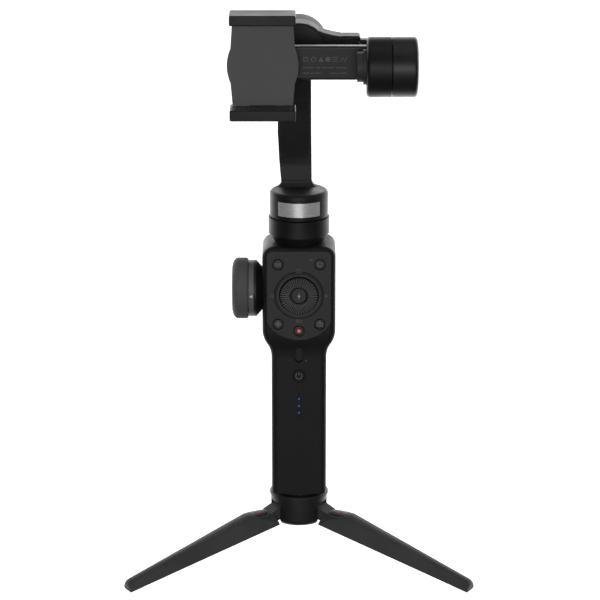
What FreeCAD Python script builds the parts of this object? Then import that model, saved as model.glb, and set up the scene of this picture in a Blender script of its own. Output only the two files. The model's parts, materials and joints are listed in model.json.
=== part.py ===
import FreeCAD, Part
import math
import os

# Three-axis phone gimbal on a folding table tripod, in millimetres.
# The origin lies on the handle's axis, at the height of the surface that the feet stand on.
# +X points to the tilt motor, +Y away from the person who holds the handle, +Z up.

# Clearances
RUNNING = 0.05          # radial gap of a pin, shaft or stud in its bore
SEAT = 0.03             # gap round a piece that is pushed into its pocket
FREE = 0.3              # gap between faces that move past each other

# Tripod
HUB_RADIUS = 19.0
HUB_BOTTOM = 26.5
HUB_TOP = 45.0
HUB_ROUND = 4.0
RING_RADIUS = 19.8
RING_HEIGHT = 2.5
PAD_RADIUS = 14.0
STUD_RADIUS = 3.175     # quarter-inch photographic thread
STUD_REACH = 8.0        # length of stud inside the handle
LEG_PIN_RADIUS = 1.5
LEG_PIN_LENGTH = 24.0
LEG_PIN_PLACE = 12.0    # distance of a leg pin from the handle's axis
LEG_PIN_HEIGHT = 36.4
LEG_SLOPE = 12.7        # degrees below level, legs open
LEG_TONGUE_WIDTH = 11.3
LEG_TONGUE_RADIUS = 4.8
LEG_HUB_GAP = 4.0        # between the hub's side and a leg's root, legs open
LEG_START = HUB_RADIUS - LEG_PIN_PLACE + LEG_HUB_GAP   # distances along a leg, from its pin
LEG_WIDEST = 27.4
LEG_END = 124.0
LEG_START_RADIUS = 14.0
LEG_WIDEST_RADIUS = 17.8
LEG_TIP_RADIUS = 9.6
LEG_TIP_LENGTH = 4.0
LEG_SIDE_GAP = 0.2      # half the gap between two folded legs
LEG_EDGE_ROUND = 0.8
LEG_FLAT_TILT = 58.0      # degrees between a leg's outward side and its flats
LEG_FLAT_DEPTH = 0.773    # distance of the flats from the ridge, as a share of the leg's radius
FOOT_THICKNESS = 1.6
LEG_DIRECTIONS = {"left": 210.0, "right": -30.0, "rear": 90.0}

# Handle
HANDLE_BOTTOM = 50.0
GRIP_HALF_WIDTH = 18.25
GRIP_FRONT = -17.0
GRIP_BACK = 18.0
GRIP_TOP = 146.0
HEAD_START = 166.0
HEAD_TOP = 223.0
HEAD_HALF_WIDTH = 24.2
HEAD_FRONT = -20.0
HEAD_BACK = 20.0
HEAD_CORNER = 7.0       # of the head's top, seen from the front
HANDLE_ROUND = 4.5
WALL = 2.2
SEAM = 6.0              # plane between the front and the rear shell
BOARD_THICKNESS = 1.6
HANDLE_REACH = 50.0     # further than the handle reaches to any side
POST_RADIUS = 2.2       # of the posts that carry the main board
POST_HALF_SPREAD = 9.5
POST_MARGINS = (3.0, 14.0)   # from the board's lower and upper end
HOLLOW_STEP = 10.0      # how far the deeper room of the grip reaches above it

# Control panel
PANEL_HALF_WIDTH = 21.2
PANEL_TOP = 221.0
PANEL_SIDE_END = 172.0
PANEL_BOTTOM = 160.0
PANEL_PROUD = 0.5
PANEL_CORNER = 4.0
PANEL_THICKNESS = 2.2
PANEL_LEDGE = 1.5
PANEL_BOARD_FRONT = -15.2
DIAL_HEIGHT = 190.8
DIAL_RADIUS = 12.9
DIAL_FRONT = -22.0
DIAL_HUB_RADIUS = 7.0
BEZEL_RADIUS = 14.3
DISH_RADIUS = 16.5
DISH_DEPTH = 1.0
DISH_SLOPE = 1.2
FLASH_RADIUS = 5.1
BUTTON_RADIUS = 3.2
BUTTON_HOLE_RADIUS = 3.9
BUTTON_FLANGE_RADIUS = 4.3
BUTTON_TRAVEL = 0.6
BUTTON_FLANGE_THICKNESS = 1.2
BUTTON_STEM_RADIUS = 1.5
FLASH_STEM_RADIUS = 2.0
KEY_GAP = 0.2           # between a key and its hole or its switch
KEY_EDGE = 0.5          # rounding of a key's front edge
BUTTONS = {
    "menu_button": (-13.8, 212.0),
    "display_button": (13.8, 212.0),
    "mode_button": (-13.8, 171.0),
    "photo_button": (13.8, 171.0),
    "record_button": (0.0, 166.3),
}

# Grip controls
POWER_HEIGHT = 133.7
POWER_RADIUS = 3.85
POWER_RECESS_RADIUS = 4.85
POWER_RECESS_DEPTH = 0.8
SWITCH_HEIGHT = 148.4
SWITCH_SLOT = (5.7, 10.3)
SWITCH_TRAVEL = 3.9
SWITCH_GAP = 0.25       # between the knob and the ends of its slot
SWITCH_MARGIN = 1.2     # of the knob's base, to each side of the slot
SWITCH_BASE = (0.6, 1.6)   # front and back of the base, behind the shell's wall
LED_SPAN = (103.4, 124.9)
LED_WIDTH = 2.0
MAIN_BOARD_FRONT = -12.4
MAIN_BOARD_SPAN = (98.0, 156.0)
MAIN_BOARD_WIDTH = 25.0

# Hand wheel on the left side of the head
WHEEL_HEIGHT = 190.0
WHEEL_RADIUS = 20.3
WHEEL_STANDOFF = 9.4     # of the tyre's inner face from the side of the head
WHEEL_WIDTH = 10.7
WHEEL_INNER_FACE = -HEAD_HALF_WIDTH - WHEEL_STANDOFF
WHEEL_OUTER_FACE = WHEEL_INNER_FACE - WHEEL_WIDTH
WHEEL_GAP = 0.3
WHEEL_FACE_RADIUS = 15.0
WHEEL_SHOULDER = 2.2    # depth of the tyre's sloping outer edge
INDEX_RADIUS = 18.8
INDEX_WIDTH = 3.4
WHEEL_BASE_RADIUS = 14.2
WHEEL_BASE_RIM = 1.6
WHEEL_AXLE_RADIUS = 3.0
WHEEL_AXLE_REACH = 8.0   # length of axle inside the head
WHEEL_DISC_SUNK = 0.4

# Trigger on the back of the head
USB_PLACE = (-4.0, 196.0)
USB_HALF_SIZE = (1.8, 4.6)
USB_CORNER = 1.1
USB_DEPTH = 7.0
USB_SUNK = 0.4
USB_WALL = 0.4
USB_BLADE_HALF_SIZE = (0.35, 3.2)
TRIGGER_PIVOT = (15.5, 186.0)
TRIGGER_LUG_GAP = 0.6
TRIGGER_LUG_THICKNESS = 3.0
TRIGGER_LUG_FRONT = 12.5
TRIGGER_ROUND = 1.0
TRIGGER_WIDTH = 14.4
TRIGGER_BOTTOM = 159.0
TRIGGER_PIN_RADIUS = 1.5

# Inside the handle
BATTERY_RADIUS = 9.3
BATTERY_LENGTH = 65.0
BATTERY_BACK = 4.0      # distance of the battery's axis behind the handle's
END_CAP_HEIGHT = 4.0
INSERT_RADIUS = 5.0
SCREW_RADIUS = 1.25
SCREW_HEAD_RADIUS = 2.4
SCREW_BOSS_RADIUS = 3.4
FRONT_BOSS_LENGTH = 8.0
SCREW_HEAD_DEPTH = 1.6
SCREW_HEAD_SUNK = 0.3
SCREW_SOCKET_RADIUS = 1.0
SCREW_SOCKET_DEPTH = 1.2
INSERT_LENGTH = 9.0
INSERT_WALL = 1.5
SCREW_PLACES = [(-12.8, 62.0), (12.8, 62.0), (-12.8, 140.0), (12.8, 140.0)]

# Motors
MOTOR_GAP = 0.6         # seam between the two halves of a motor
MOTOR_WALL = 2.0
MOTOR_END = 3.0         # thickness of a motor's closed end
MOTOR_ROUND = 2.3       # rounding of a motor's closed end
SEAM_ROUND = 0.6
SHAFT_RADIUS = 4.0
POLES = 12
POLE_GAP_RADIUS = 1.4
POLE_GAP_DEPTH = 0.9
COIL_GAP = 1.6          # radial gap between a stator and the housing round it
PAN_NECK_RADIUS = 15.7
PAN_NECK_TOP = 229.0
PAN_BASE_STEP = 0.85     # how far the lower half stands out beyond the upper half
PAN_SEAM = 240.2
PAN_ROTOR_RADIUS = 19.25
PAN_BASE_RADIUS = PAN_ROTOR_RADIUS + PAN_BASE_STEP
PAN_ROTOR_TOP = 258.0
PAN_ROTOR_ROUND = 2.5
PLATE_SPAN = (243.5, 253.0)
PLATE_CHORD = 27.5
PLATE_DEPTH = 0.4
AXES_HEIGHT = 340.0     # the roll and tilt axes cross the pan axis here
ROLL_RADIUS = 19.0
ROLL_FRONT = 48.0
ROLL_SEAM = 66.0
ROLL_BACK = 84.0
TILT_RADIUS = 19.6
TILT_INNER_FACE = 44.0
TILT_SEAM = 60.2
TILT_OUTER_FACE = 77.0

# Vertical arm
ARM_SWING = 66.2        # radius of its front face about the tilt axis
ARM_THICKNESS = 11.0
ARM_FOOT = (9.0, 19.0)  # front and back of the arm where it stands on the pan motor
ARM_FOOT_WIDTH = (-11.5, 8.5)
ARM_FOOT_FLARE = 3.5    # how far the arm spreads where it meets the pan motor
ARM_BEND_ROUND = 8.0
ARM_WIDTH = (-14.25, 8.25)
ARM_SWING_ANGLES = (11.3, 59.4)
COVER_ANGLES = (14.0, 57.0)
COVER_THICKNESS = 1.2
COVER_MARGIN = 2.0

# Sleeve and sliding arm
SLEEVE_END = 41.0
SLEEVE_DEPTH = (50.0, 64.0)
SLEEVE_HALF_HEIGHT = 10.0
SLEEVE_WALL = 2.0
SLEEVE_FLARE = (8.0, 20.0, 28.0)   # from the roll motor's side to the plain sleeve
SLEEVE_FLARE_HALF_HEIGHT = 16.0
SLEEVE_FLARE_BEND = 1.5
BAR_HALF_HEIGHT = 7.0
BAR_ROUND = 2.5
BAR_START = 21.5
FORWARD_HALF_HEIGHT = 13.0   # of the forward limb beside the tilt motor
FORWARD_BACK_HALF_HEIGHT = 6.4
FORWARD_START = 12.0
ELBOW_ROUND = 6.0
LOCK_PLACE = 35.8
LOCK_RADIUS = 7.7
LOCK_THICKNESS = 3.0
LOCK_STEM_RADIUS = 2.0

# Phone clamp
CLAMP_CENTRE = -23.6
CLAMP_BAR_START = -35.0
CLAMP_BAR_DEPTH = (12.3, 19.5)
CLAMP_BAR_HEIGHT = (AXES_HEIGHT - 11.6, AXES_HEIGHT + 11.0)
PLATE_FRONT = 2.5
PLATE_THICKNESS = 2.5
PLATE_HALF_WIDTHS = (19.8, 21.0, 23.4)   # at its ends, beside the bulge and at the bulge
PLATE_BULGE_REACH = 11.4
HOUSING_HALF_WIDTH = 17.5
HOUSING_BACK = 12.0
HOUSING_HEIGHT = (AXES_HEIGHT - 22.0, AXES_HEIGHT + 26.0)
JAW_HALF_WIDTH = 21.5
JAW_DEPTH = (-12.5, 7.5)
TOP_JAW = (AXES_HEIGHT + 29.2, AXES_HEIGHT + 36.0)
LOWER_JAW = (AXES_HEIGHT - 33.6, AXES_HEIGHT - 26.5)
JAW_ROUND = 1.0
GRIP_PAD_DEPTH = (-11.0, 1.5)
GRIP_PAD_THICKNESS = 1.2
GRIP_PAD_MARGIN = 2.0
TONGUE_HALF_WIDTH = 8.8
TONGUE_DEPTH = (7.0, 10.6)
TONGUE_TOP = AXES_HEIGHT + 10.0
PIVOT_STUD_RADIUS = 4.0
CLAMP_KNOB_RADIUS = 8.0
CLAMP_KNOB_DEPTH = (20.0, 27.0)
BOSS_STEPS = [(11.5, 41.8, 44.0), (9.8, 37.8, 41.8)]

X = FreeCAD.Vector(1, 0, 0)
Y = FreeCAD.Vector(0, 1, 0)
Z = FreeCAD.Vector(0, 0, 1)
ORIGIN = FreeCAD.Vector(0, 0, 0)
os.makedirs("parts", exist_ok=True)


def vec(x, y, z):
    return FreeCAD.Vector(x, y, z)


def box(x, y, z):
    """A block between three pairs of limits."""
    return Part.makeBox(x[1] - x[0], y[1] - y[0], z[1] - z[0], vec(x[0], y[0], z[0]))


def rod(radius, centre, axis, start, end):
    """A cylinder along an axis through centre, between two distances along it."""
    return Part.makeCylinder(radius, end - start, centre + axis * start, axis)


def tube(outer, inner, centre, axis, start, end):
    return rod(outer, centre, axis, start, end).cut(rod(inner, centre, axis, start, end))


def cone(first, last, centre, axis, start, end):
    return Part.makeCone(first, last, end - start, centre + axis * start, axis)


def from_front(y):
    """Places an outline's (x, z) in the plane at this y."""
    return lambda x, z: vec(x, y, z)


def from_side(x):
    """Places an outline's (y, z) in the plane at this x."""
    return lambda y, z: vec(x, y, z)


def prism(place, depth, steps):
    """Extrudes a closed outline. A step of two numbers is a line to that point, and a step of
    four is an arc through the first point to the second."""
    edges = []
    here = place(*steps[0])
    for step in steps[1:] + steps[:1]:
        there = place(*step[-2:])
        if len(step) == 4:
            edges.append(Part.Arc(here, place(*step[:2]), there).toShape())
        elif there.distanceToPoint(here) > 1e-6:
            edges.append(Part.LineSegment(here, there).toShape())
        here = there
    return Part.Face(Part.Wire(edges)).extrude(depth)


def bar(x, y, z, radius, axis):
    """A block with rounded edges along one axis."""
    solid = box(x, y, z)
    return solid.makeFillet(radius, edges_along(solid, axis))


def slot(width, low, high, front, back):
    """A stadium-shaped bar, upright in the front view."""
    radius = width / 2
    outline = [(-radius, low + radius), (0, low, radius, low + radius),
               (radius, high - radius), (0, high, -radius, high - radius)]
    return prism(from_front(front), Y * (back - front), outline)


def edges_along(solid, axis):
    """The straight edges that run along an axis."""
    return [e for e in solid.Edges
            if e.Curve.TypeId == "Part::GeomLine" and abs(e.tangentAt(e.FirstParameter).dot(axis)) > 0.999]


def edges_at(solid, axis, position):
    """The edges that lie in the plane at a position along an axis."""
    return [e for e in solid.Edges
            if all(abs(p.dot(axis) - position) < 0.01 for p in e.discretize(5))]


def rounded_at(solid, axis, position, radius):
    return solid.makeFillet(radius, edges_at(solid, axis, position))


def fused(shapes):
    whole = shapes[0].fuse(shapes[1:]) if len(shapes) > 1 else shapes[0]
    return whole.removeSplitter()


def save(name, shape):
    shape.exportStep("parts/" + name + ".step")
    print(name, len(shape.Solids), shape.isValid(), round(shape.Volume))


def s_curve(a0, b0, a1, b1):
    """Two arcs that leave one upright line and join another, bending out and back."""
    half_a = (a1 - a0) / 2
    half_b = (b1 - b0) / 2
    radius = (half_a ** 2 + half_b ** 2) / (2 * half_a)
    turn = math.asin(half_b / radius) / 2
    bend_a = radius * (1 - math.cos(turn))
    bend_b = radius * math.sin(turn)
    return [(a0 + bend_a, b0 + bend_b, a0 + half_a, b0 + half_b),
            (a1 - bend_a, b1 - bend_b, a1, b1)]


# Tripod: hub, ring, pad, stud, pins and legs

STUD_TOP = HANDLE_BOTTOM + STUD_REACH
SLOT_START = LEG_PIN_PLACE - LEG_TONGUE_RADIUS - 0.5
SLOT_TOP = LEG_PIN_HEIGHT + LEG_TONGUE_RADIUS + 0.4
LEG_SLOT_WIDTH = LEG_TONGUE_WIDTH + 0.4


def turned(shape, degrees):
    """The shape turned about the handle's axis."""
    copy = shape.copy()
    copy.rotate(ORIGIN, Z, degrees)
    return copy


def leg_pin():
    centre = vec(LEG_PIN_PLACE, 0, LEG_PIN_HEIGHT)
    return rod(LEG_PIN_RADIUS, centre, Y, -LEG_PIN_LENGTH / 2, LEG_PIN_LENGTH / 2)


def tripod_hub():
    hub = rounded_at(rod(HUB_RADIUS, ORIGIN, Z, HUB_BOTTOM, HUB_TOP), Z, HUB_BOTTOM, HUB_ROUND)
    centre = vec(LEG_PIN_PLACE, 0, LEG_PIN_HEIGHT)
    half_slot = LEG_SLOT_WIDTH / 2
    half_bore = LEG_PIN_LENGTH / 2 + SEAT
    for degrees in LEG_DIRECTIONS.values():
        gap = box((SLOT_START, 2 * HUB_RADIUS), (-half_slot, half_slot), (0, SLOT_TOP))
        bore = rod(LEG_PIN_RADIUS + SEAT, centre, Y, -half_bore, half_bore)
        hub = hub.cut(turned(gap.fuse(bore), degrees))
    return hub.cut(rod(STUD_RADIUS + SEAT, ORIGIN, Z, HUB_BOTTOM + 5, HUB_TOP))


def hub_ring():
    ring = tube(RING_RADIUS, PAD_RADIUS + SEAT, ORIGIN, Z, HUB_TOP, HUB_TOP + RING_HEIGHT)
    outer_rim = [e for e in edges_at(ring, Z, HUB_TOP + RING_HEIGHT) if e.Curve.Radius > PAD_RADIUS + 1]
    return ring.makeChamfer(1.0, outer_rim)


def leg_flat(side):
    """What is cut away from a folded leg to leave the flat on one side."""
    turn = math.radians(side * LEG_FLAT_TILT)
    outward = vec(math.cos(turn), math.sin(turn), 0)
    along = vec(-math.sin(turn), math.cos(turn), 0)
    reach = 4 * LEG_WIDEST_RADIUS
    faces = []
    for radius, distance in ((LEG_WIDEST_RADIUS, LEG_WIDEST), (LEG_TIP_RADIUS, LEG_END)):
        near = outward * (LEG_FLAT_DEPTH * radius) + Z * (LEG_PIN_HEIGHT - distance)
        faces.append(near)
    run = faces[0] - faces[1]
    top = faces[1] + run * 2
    bottom = faces[1] - run
    outline = [top, bottom, bottom + outward * reach, top + outward * reach]
    shifted = [corner - along * reach for corner in outline]
    return Part.Face(Part.makePolygon(shifted + shifted[:1])).extrude(along * 2 * reach)


def folded_leg():
    """One leg, folded down, in the plane of X and Z: a third of a round tapering bar."""
    start = LEG_PIN_HEIGHT - LEG_START
    widest = LEG_PIN_HEIGHT - LEG_WIDEST
    tip = LEG_PIN_HEIGHT - LEG_END
    outline = [(0, start), (LEG_START_RADIUS, start), (LEG_WIDEST_RADIUS, widest),
               (LEG_TIP_RADIUS, tip + LEG_TIP_LENGTH),
               (LEG_TIP_RADIUS - LEG_TIP_LENGTH * 0.3, tip + LEG_TIP_LENGTH * 0.3,
                LEG_TIP_RADIUS - LEG_TIP_LENGTH, tip), (0, tip)]
    profile = prism(lambda r, z: vec(r, 0, z), Y * 0.001, outline).Faces
    section = [f for f in profile if abs(f.CenterOfMass.y) < 1e-9][0]
    round_bar = section.revolve(ORIGIN, Z, 360)
    reach = 4 * LEG_WIDEST_RADIUS
    ridge = LEG_SIDE_GAP / math.sin(math.radians(60))
    side = reach * math.tan(math.radians(60))
    wedge = prism(lambda x, y: vec(x, y, tip - 1), Z * (LEG_END + 2),
                  [(ridge, 0), (ridge + reach, side), (ridge + reach, -side)])
    blade = round_bar.common(wedge).cut([leg_flat(1), leg_flat(-1)])
    long_edges = [e for e in blade.Edges
                  if e.BoundBox.ZLength > LEG_END / 2 and e.CenterOfMass.x > 1]
    blade = blade.makeFillet(LEG_EDGE_ROUND, long_edges)
    half = LEG_TONGUE_WIDTH / 2
    tongue_limits = (LEG_PIN_PLACE - LEG_TONGUE_RADIUS, LEG_PIN_PLACE + LEG_TONGUE_RADIUS)
    neck = prism(lambda x, z: vec(x, -half, z), Y * LEG_TONGUE_WIDTH,
                 [(tongue_limits[0], LEG_PIN_HEIGHT), (tongue_limits[1], LEG_PIN_HEIGHT),
                  (LEG_START_RADIUS, start - 2), (tongue_limits[0], start - 2)])
    pin_centre = vec(LEG_PIN_PLACE, 0, LEG_PIN_HEIGHT)
    end = rod(LEG_TONGUE_RADIUS, pin_centre, Y, -half, half)
    bore = rod(LEG_PIN_RADIUS + RUNNING, pin_centre, Y, -half, half)
    return fused([blade, neck, end]).cut(bore)


def open_leg(degrees):
    """A leg swung open on its pin, and the rubber foot under its tip."""
    leg = folded_leg()
    leg.rotate(vec(LEG_PIN_PLACE, 0, LEG_PIN_HEIGHT), Y, LEG_SLOPE - 90)
    reach = 2 * LEG_END
    floor = box((0, reach), (-reach, reach), (-reach, FOOT_THICKNESS))
    under = box((0, reach), (-reach, reach), (-reach, 0))
    foot = leg.common(floor).cut(under)
    return turned(leg.cut(floor), degrees), turned(foot, degrees)


save("tripod_hub", tripod_hub())
save("hub_ring", hub_ring())
save("hub_pad", tube(PAD_RADIUS, STUD_RADIUS + SEAT, ORIGIN, Z, HUB_TOP, HANDLE_BOTTOM))
stud = rod(STUD_RADIUS, ORIGIN, Z, HUB_BOTTOM + 5, STUD_TOP)
save("tripod_stud", stud.makeChamfer(0.6, edges_at(stud, Z, STUD_TOP)))
save("leg_pins", Part.makeCompound([turned(leg_pin(), d) for d in LEG_DIRECTIONS.values()]))
for place, degrees in LEG_DIRECTIONS.items():
    leg, foot = open_leg(degrees)
    save("leg_" + place, leg)
    save("foot_" + place, foot)


# Handle: two shells, end cap, thread insert, battery, board and screws

def handle_body(inset):
    """The handle's outer form, made smaller all round by inset."""
    grip = GRIP_HALF_WIDTH - inset
    head = HEAD_HALF_WIDTH - inset
    top = HEAD_TOP - inset
    front = [(-grip, HANDLE_BOTTOM), (grip, HANDLE_BOTTOM), (grip, GRIP_TOP)]
    front += s_curve(grip, GRIP_TOP, head, HEAD_START)
    corner = HEAD_CORNER - inset
    bend = corner * (1 - math.sqrt(0.5))
    front += [(head, top - corner), (head - bend, top - bend, head - corner, top),
              (corner - head, top), (bend - head, top - bend, -head, top - corner), (-head, HEAD_START)]
    front += s_curve(-head, HEAD_START, -grip, GRIP_TOP)
    near = (GRIP_FRONT + inset, HEAD_FRONT + inset)
    far = (GRIP_BACK - inset, HEAD_BACK - inset)
    side = [(near[0], HANDLE_BOTTOM), (far[0], HANDLE_BOTTOM), (far[0], GRIP_TOP)]
    side += s_curve(far[0], GRIP_TOP, far[1], HEAD_START)
    side += [(far[1], top), (near[1], top), (near[1], HEAD_START)]
    side += s_curve(near[1], HEAD_START, near[0], GRIP_TOP)
    across = 2 * HEAD_HALF_WIDTH
    body = prism(from_front(-across), Y * 2 * across, front).common(
        prism(from_side(-across), X * 2 * across, side))
    body = body.removeSplitter()
    corners = [e for e in body.Edges if is_corner(e, top)]
    return body.makeFillet(HANDLE_ROUND - inset, corners)


def is_corner(edge, top):
    """Whether an edge of the handle's form is one of its long corners or round its top."""
    points = edge.discretize(5)
    if max(p.z for p in points) < HANDLE_BOTTOM + 0.01:
        return False
    upright = abs(points[-1].z - points[0].z) > 1
    return upright or min(p.z for p in points) > top - 0.01


def panel_form(inset, front, back):
    """The control panel's outline: straight top and sides over a round bottom."""
    half = PANEL_HALF_WIDTH - inset
    top = PANEL_TOP - inset
    solid = prism(from_front(front), Y * (back - front),
                  [(-half, top), (half, top), (half, PANEL_SIDE_END),
                   (0, PANEL_BOTTOM + inset, -half, PANEL_SIDE_END)])
    return solid.makeFillet(PANEL_CORNER - inset, edges_along(solid, Y))


panel_front = HEAD_FRONT - PANEL_PROUD
panel_back = panel_front + PANEL_THICKNESS
dial_centre = vec(0, 0, DIAL_HEIGHT)
wheel_centre = vec(0, 0, WHEEL_HEIGHT)
power_centre = vec(0, 0, POWER_HEIGHT)
inner_front = GRIP_FRONT + WALL
usb_centre = vec(0, USB_PLACE[0], USB_PLACE[1])
trigger_centre = vec(0, TRIGGER_PIVOT[0], TRIGGER_PIVOT[1])
trigger_half = TRIGGER_WIDTH / 2


def handle_hollow():
    """The room inside: all of the grip, and the head as far forward as the panel's board."""
    grip = slab(-HANDLE_REACH, HANDLE_REACH, (HANDLE_BOTTOM, GRIP_TOP + HOLLOW_STEP))
    head = slab(PANEL_BOARD_FRONT, HANDLE_REACH, (HANDLE_BOTTOM, HEAD_TOP))
    return handle_body(WALL).common(head.fuse(grip))


def slab(front, back, height):
    """A block wider than the handle, between two planes that face the front."""
    return box((-HANDLE_REACH, HANDLE_REACH), (front, back), height)


def handle_part(body, hollow, front, back):
    """The wall of the handle between two planes."""
    return body.cut(hollow).common(slab(front, back, (HANDLE_BOTTOM, HEAD_TOP)))


def screw_bosses(body, start, end):
    bosses = []
    for x, z in SCREW_PLACES:
        bosses.append(rod(SCREW_BOSS_RADIUS, vec(x, 0, z), Y, start, end).common(body))
    return bosses


def usb_form(reach, extra):
    """The socket's outline, made larger all round by extra, between two distances from the middle."""
    half_width = USB_HALF_SIZE[0] + extra
    half_height = USB_HALF_SIZE[1] + extra
    return bar(reach, (usb_centre.y - half_width, usb_centre.y + half_width),
               (usb_centre.z - half_height, usb_centre.z + half_height), USB_CORNER + extra, X)


def front_shell(body, hollow):
    posts = screw_bosses(body, SEAM - FRONT_BOSS_LENGTH, SEAM)
    for x in (-POST_HALF_SPREAD, POST_HALF_SPREAD):
        for z in (MAIN_BOARD_SPAN[0] + POST_MARGINS[0], MAIN_BOARD_SPAN[1] - POST_MARGINS[1]):
            posts.append(rod(POST_RADIUS, vec(x, 0, z), Y, inner_front - 1, MAIN_BOARD_FRONT))
    shell = handle_part(body, hollow, -HANDLE_REACH, SEAM).fuse(posts)
    cuts = [panel_form(-0.1, panel_front - 1, panel_back),
            panel_form(PANEL_LEDGE, panel_back - 1, PANEL_BOARD_FRONT)]
    for x, z in BUTTONS.values():
        cuts.append(rod(BUTTON_FLANGE_RADIUS + FREE, vec(x, 0, z), Y, panel_back, PANEL_BOARD_FRONT))
    cuts.append(rod(POWER_RADIUS + KEY_GAP, power_centre, Y, GRIP_FRONT - 1, inner_front + 1))
    cuts.append(rod(POWER_RECESS_RADIUS, power_centre, Y, GRIP_FRONT - 1,
                    GRIP_FRONT + POWER_RECESS_DEPTH))
    low = SWITCH_HEIGHT - SWITCH_SLOT[1] / 2
    cuts.append(slot(SWITCH_SLOT[0], low, low + SWITCH_SLOT[1], HEAD_FRONT, inner_front + 1))
    cuts.append(slot(LED_WIDTH + 2 * SEAT, LED_SPAN[0] - SEAT, LED_SPAN[1] + SEAT,
                     GRIP_FRONT - 1, inner_front + 0.1))
    cuts.append(rod(WHEEL_AXLE_RADIUS + FREE, wheel_centre, X, -HEAD_HALF_WIDTH - 1, -HEAD_HALF_WIDTH + 4))
    cuts.append(usb_form((HEAD_HALF_WIDTH - 4, HEAD_HALF_WIDTH + 1), 0.1))
    for x, z in SCREW_PLACES:
        cuts.append(rod(SCREW_RADIUS + SEAT, vec(x, 0, z), Y, 0, SEAM))
    return shell.cut(cuts)


def rear_shell(body, hollow):
    extra = screw_bosses(body, SEAM, GRIP_BACK - 1)
    lug_near = trigger_half + TRIGGER_LUG_GAP
    lug_far = lug_near + TRIGGER_LUG_THICKNESS
    for side in (-1, 1):
        extra.append(box(sorted((side * lug_near, side * lug_far)), (TRIGGER_LUG_FRONT, HEAD_BACK - 1),
                         (TRIGGER_PIVOT[1] - TRIGGER_LUG_THICKNESS, TRIGGER_PIVOT[1] + TRIGGER_LUG_THICKNESS)))
    shell = handle_part(body, hollow, SEAM, HANDLE_REACH).fuse(extra)
    cuts = [box((-trigger_half - FREE, trigger_half + FREE), (TRIGGER_PIVOT[0], HANDLE_REACH),
                (TRIGGER_BOTTOM - 1.5, TRIGGER_PIVOT[1] + 4)),
            rod(TRIGGER_PIN_RADIUS + SEAT, trigger_centre, X, -trigger_half - 3.2, trigger_half + 3.2)]
    for x, z in SCREW_PLACES:
        cuts.append(rod(SCREW_RADIUS + SEAT, vec(x, 0, z), Y, SEAM, HANDLE_REACH))
        cuts.append(rod(SCREW_HEAD_RADIUS + SEAT, vec(x, 0, z), Y, GRIP_BACK - SCREW_HEAD_DEPTH, HANDLE_REACH))
    return shell.cut(cuts)


insert_top = HANDLE_BOTTOM + INSERT_LENGTH


def end_cap():
    """Closes the bottom of the grip and holds the thread insert."""
    cap = bar((-GRIP_HALF_WIDTH + WALL + SEAT, GRIP_HALF_WIDTH - WALL - SEAT),
              (GRIP_FRONT + WALL + SEAT, GRIP_BACK - WALL - SEAT),
              (HANDLE_BOTTOM, HANDLE_BOTTOM + END_CAP_HEIGHT), HANDLE_ROUND - WALL, Z)
    collar = tube(INSERT_RADIUS + INSERT_WALL, INSERT_RADIUS, ORIGIN, Z, HANDLE_BOTTOM, insert_top)
    return fused([cap, collar]).cut(rod(INSERT_RADIUS + SEAT, ORIGIN, Z, 0, insert_top + 1))


def screw(x, z):
    centre = vec(x, 0, z)
    under_head = GRIP_BACK - SCREW_HEAD_DEPTH
    head = rod(SCREW_HEAD_RADIUS, centre, Y, under_head, GRIP_BACK - SCREW_HEAD_SUNK)
    head = head.cut(rod(SCREW_SOCKET_RADIUS, centre, Y, GRIP_BACK - SCREW_SOCKET_DEPTH, GRIP_BACK))
    return fused([head, rod(SCREW_RADIUS, centre, Y, FREE, under_head)])


battery_centre = vec(0, BATTERY_BACK, 0)
battery_bottom = insert_top + SEAT
whole_handle = handle_body(0)
hollow = handle_hollow()
save("handle_front_shell", front_shell(whole_handle, hollow))
save("handle_rear_shell", rear_shell(whole_handle, hollow))
save("handle_end_cap", end_cap())
save("thread_insert", tube(INSERT_RADIUS, STUD_RADIUS + RUNNING, ORIGIN, Z, HANDLE_BOTTOM, insert_top))
save("battery_cell", rod(BATTERY_RADIUS, battery_centre, Z, battery_bottom, battery_bottom + BATTERY_LENGTH))
save("main_board", box((-MAIN_BOARD_WIDTH / 2, MAIN_BOARD_WIDTH / 2),
                       (MAIN_BOARD_FRONT, MAIN_BOARD_FRONT + BOARD_THICKNESS), MAIN_BOARD_SPAN))
save("handle_screws", Part.makeCompound([screw(x, z) for x, z in SCREW_PLACES]))


# Control panel, dial, buttons and the other controls

def control_panel():
    panel = panel_form(0, panel_front, panel_back)
    cuts = [cone(DISH_RADIUS, DISH_RADIUS - DISH_SLOPE, dial_centre, Y, panel_front, panel_front + DISH_DEPTH),
            rod(BEZEL_RADIUS + SEAT, dial_centre, Y, panel_front, panel_back)]
    for x, z in BUTTONS.values():
        cuts.append(rod(BUTTON_HOLE_RADIUS, vec(x, 0, z), Y, panel_front, panel_back))
    return panel.cut(cuts)


def push_button(x, z):
    """A cap with a flange behind the panel and a stem that reaches its switch."""
    centre = vec(x, 0, z)
    front = panel_front + FREE
    flange_back = panel_back + BUTTON_FLANGE_THICKNESS + 0.1
    cap = rounded_at(rod(BUTTON_RADIUS, centre, Y, front, flange_back), Y, front, KEY_EDGE)
    flange = rod(BUTTON_FLANGE_RADIUS, centre, Y, panel_back + 0.1, flange_back)
    stem = rod(BUTTON_STEM_RADIUS, centre, Y, flange_back, PANEL_BOARD_FRONT - BUTTON_TRAVEL - KEY_GAP)
    return fused([cap, flange, stem])


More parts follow.
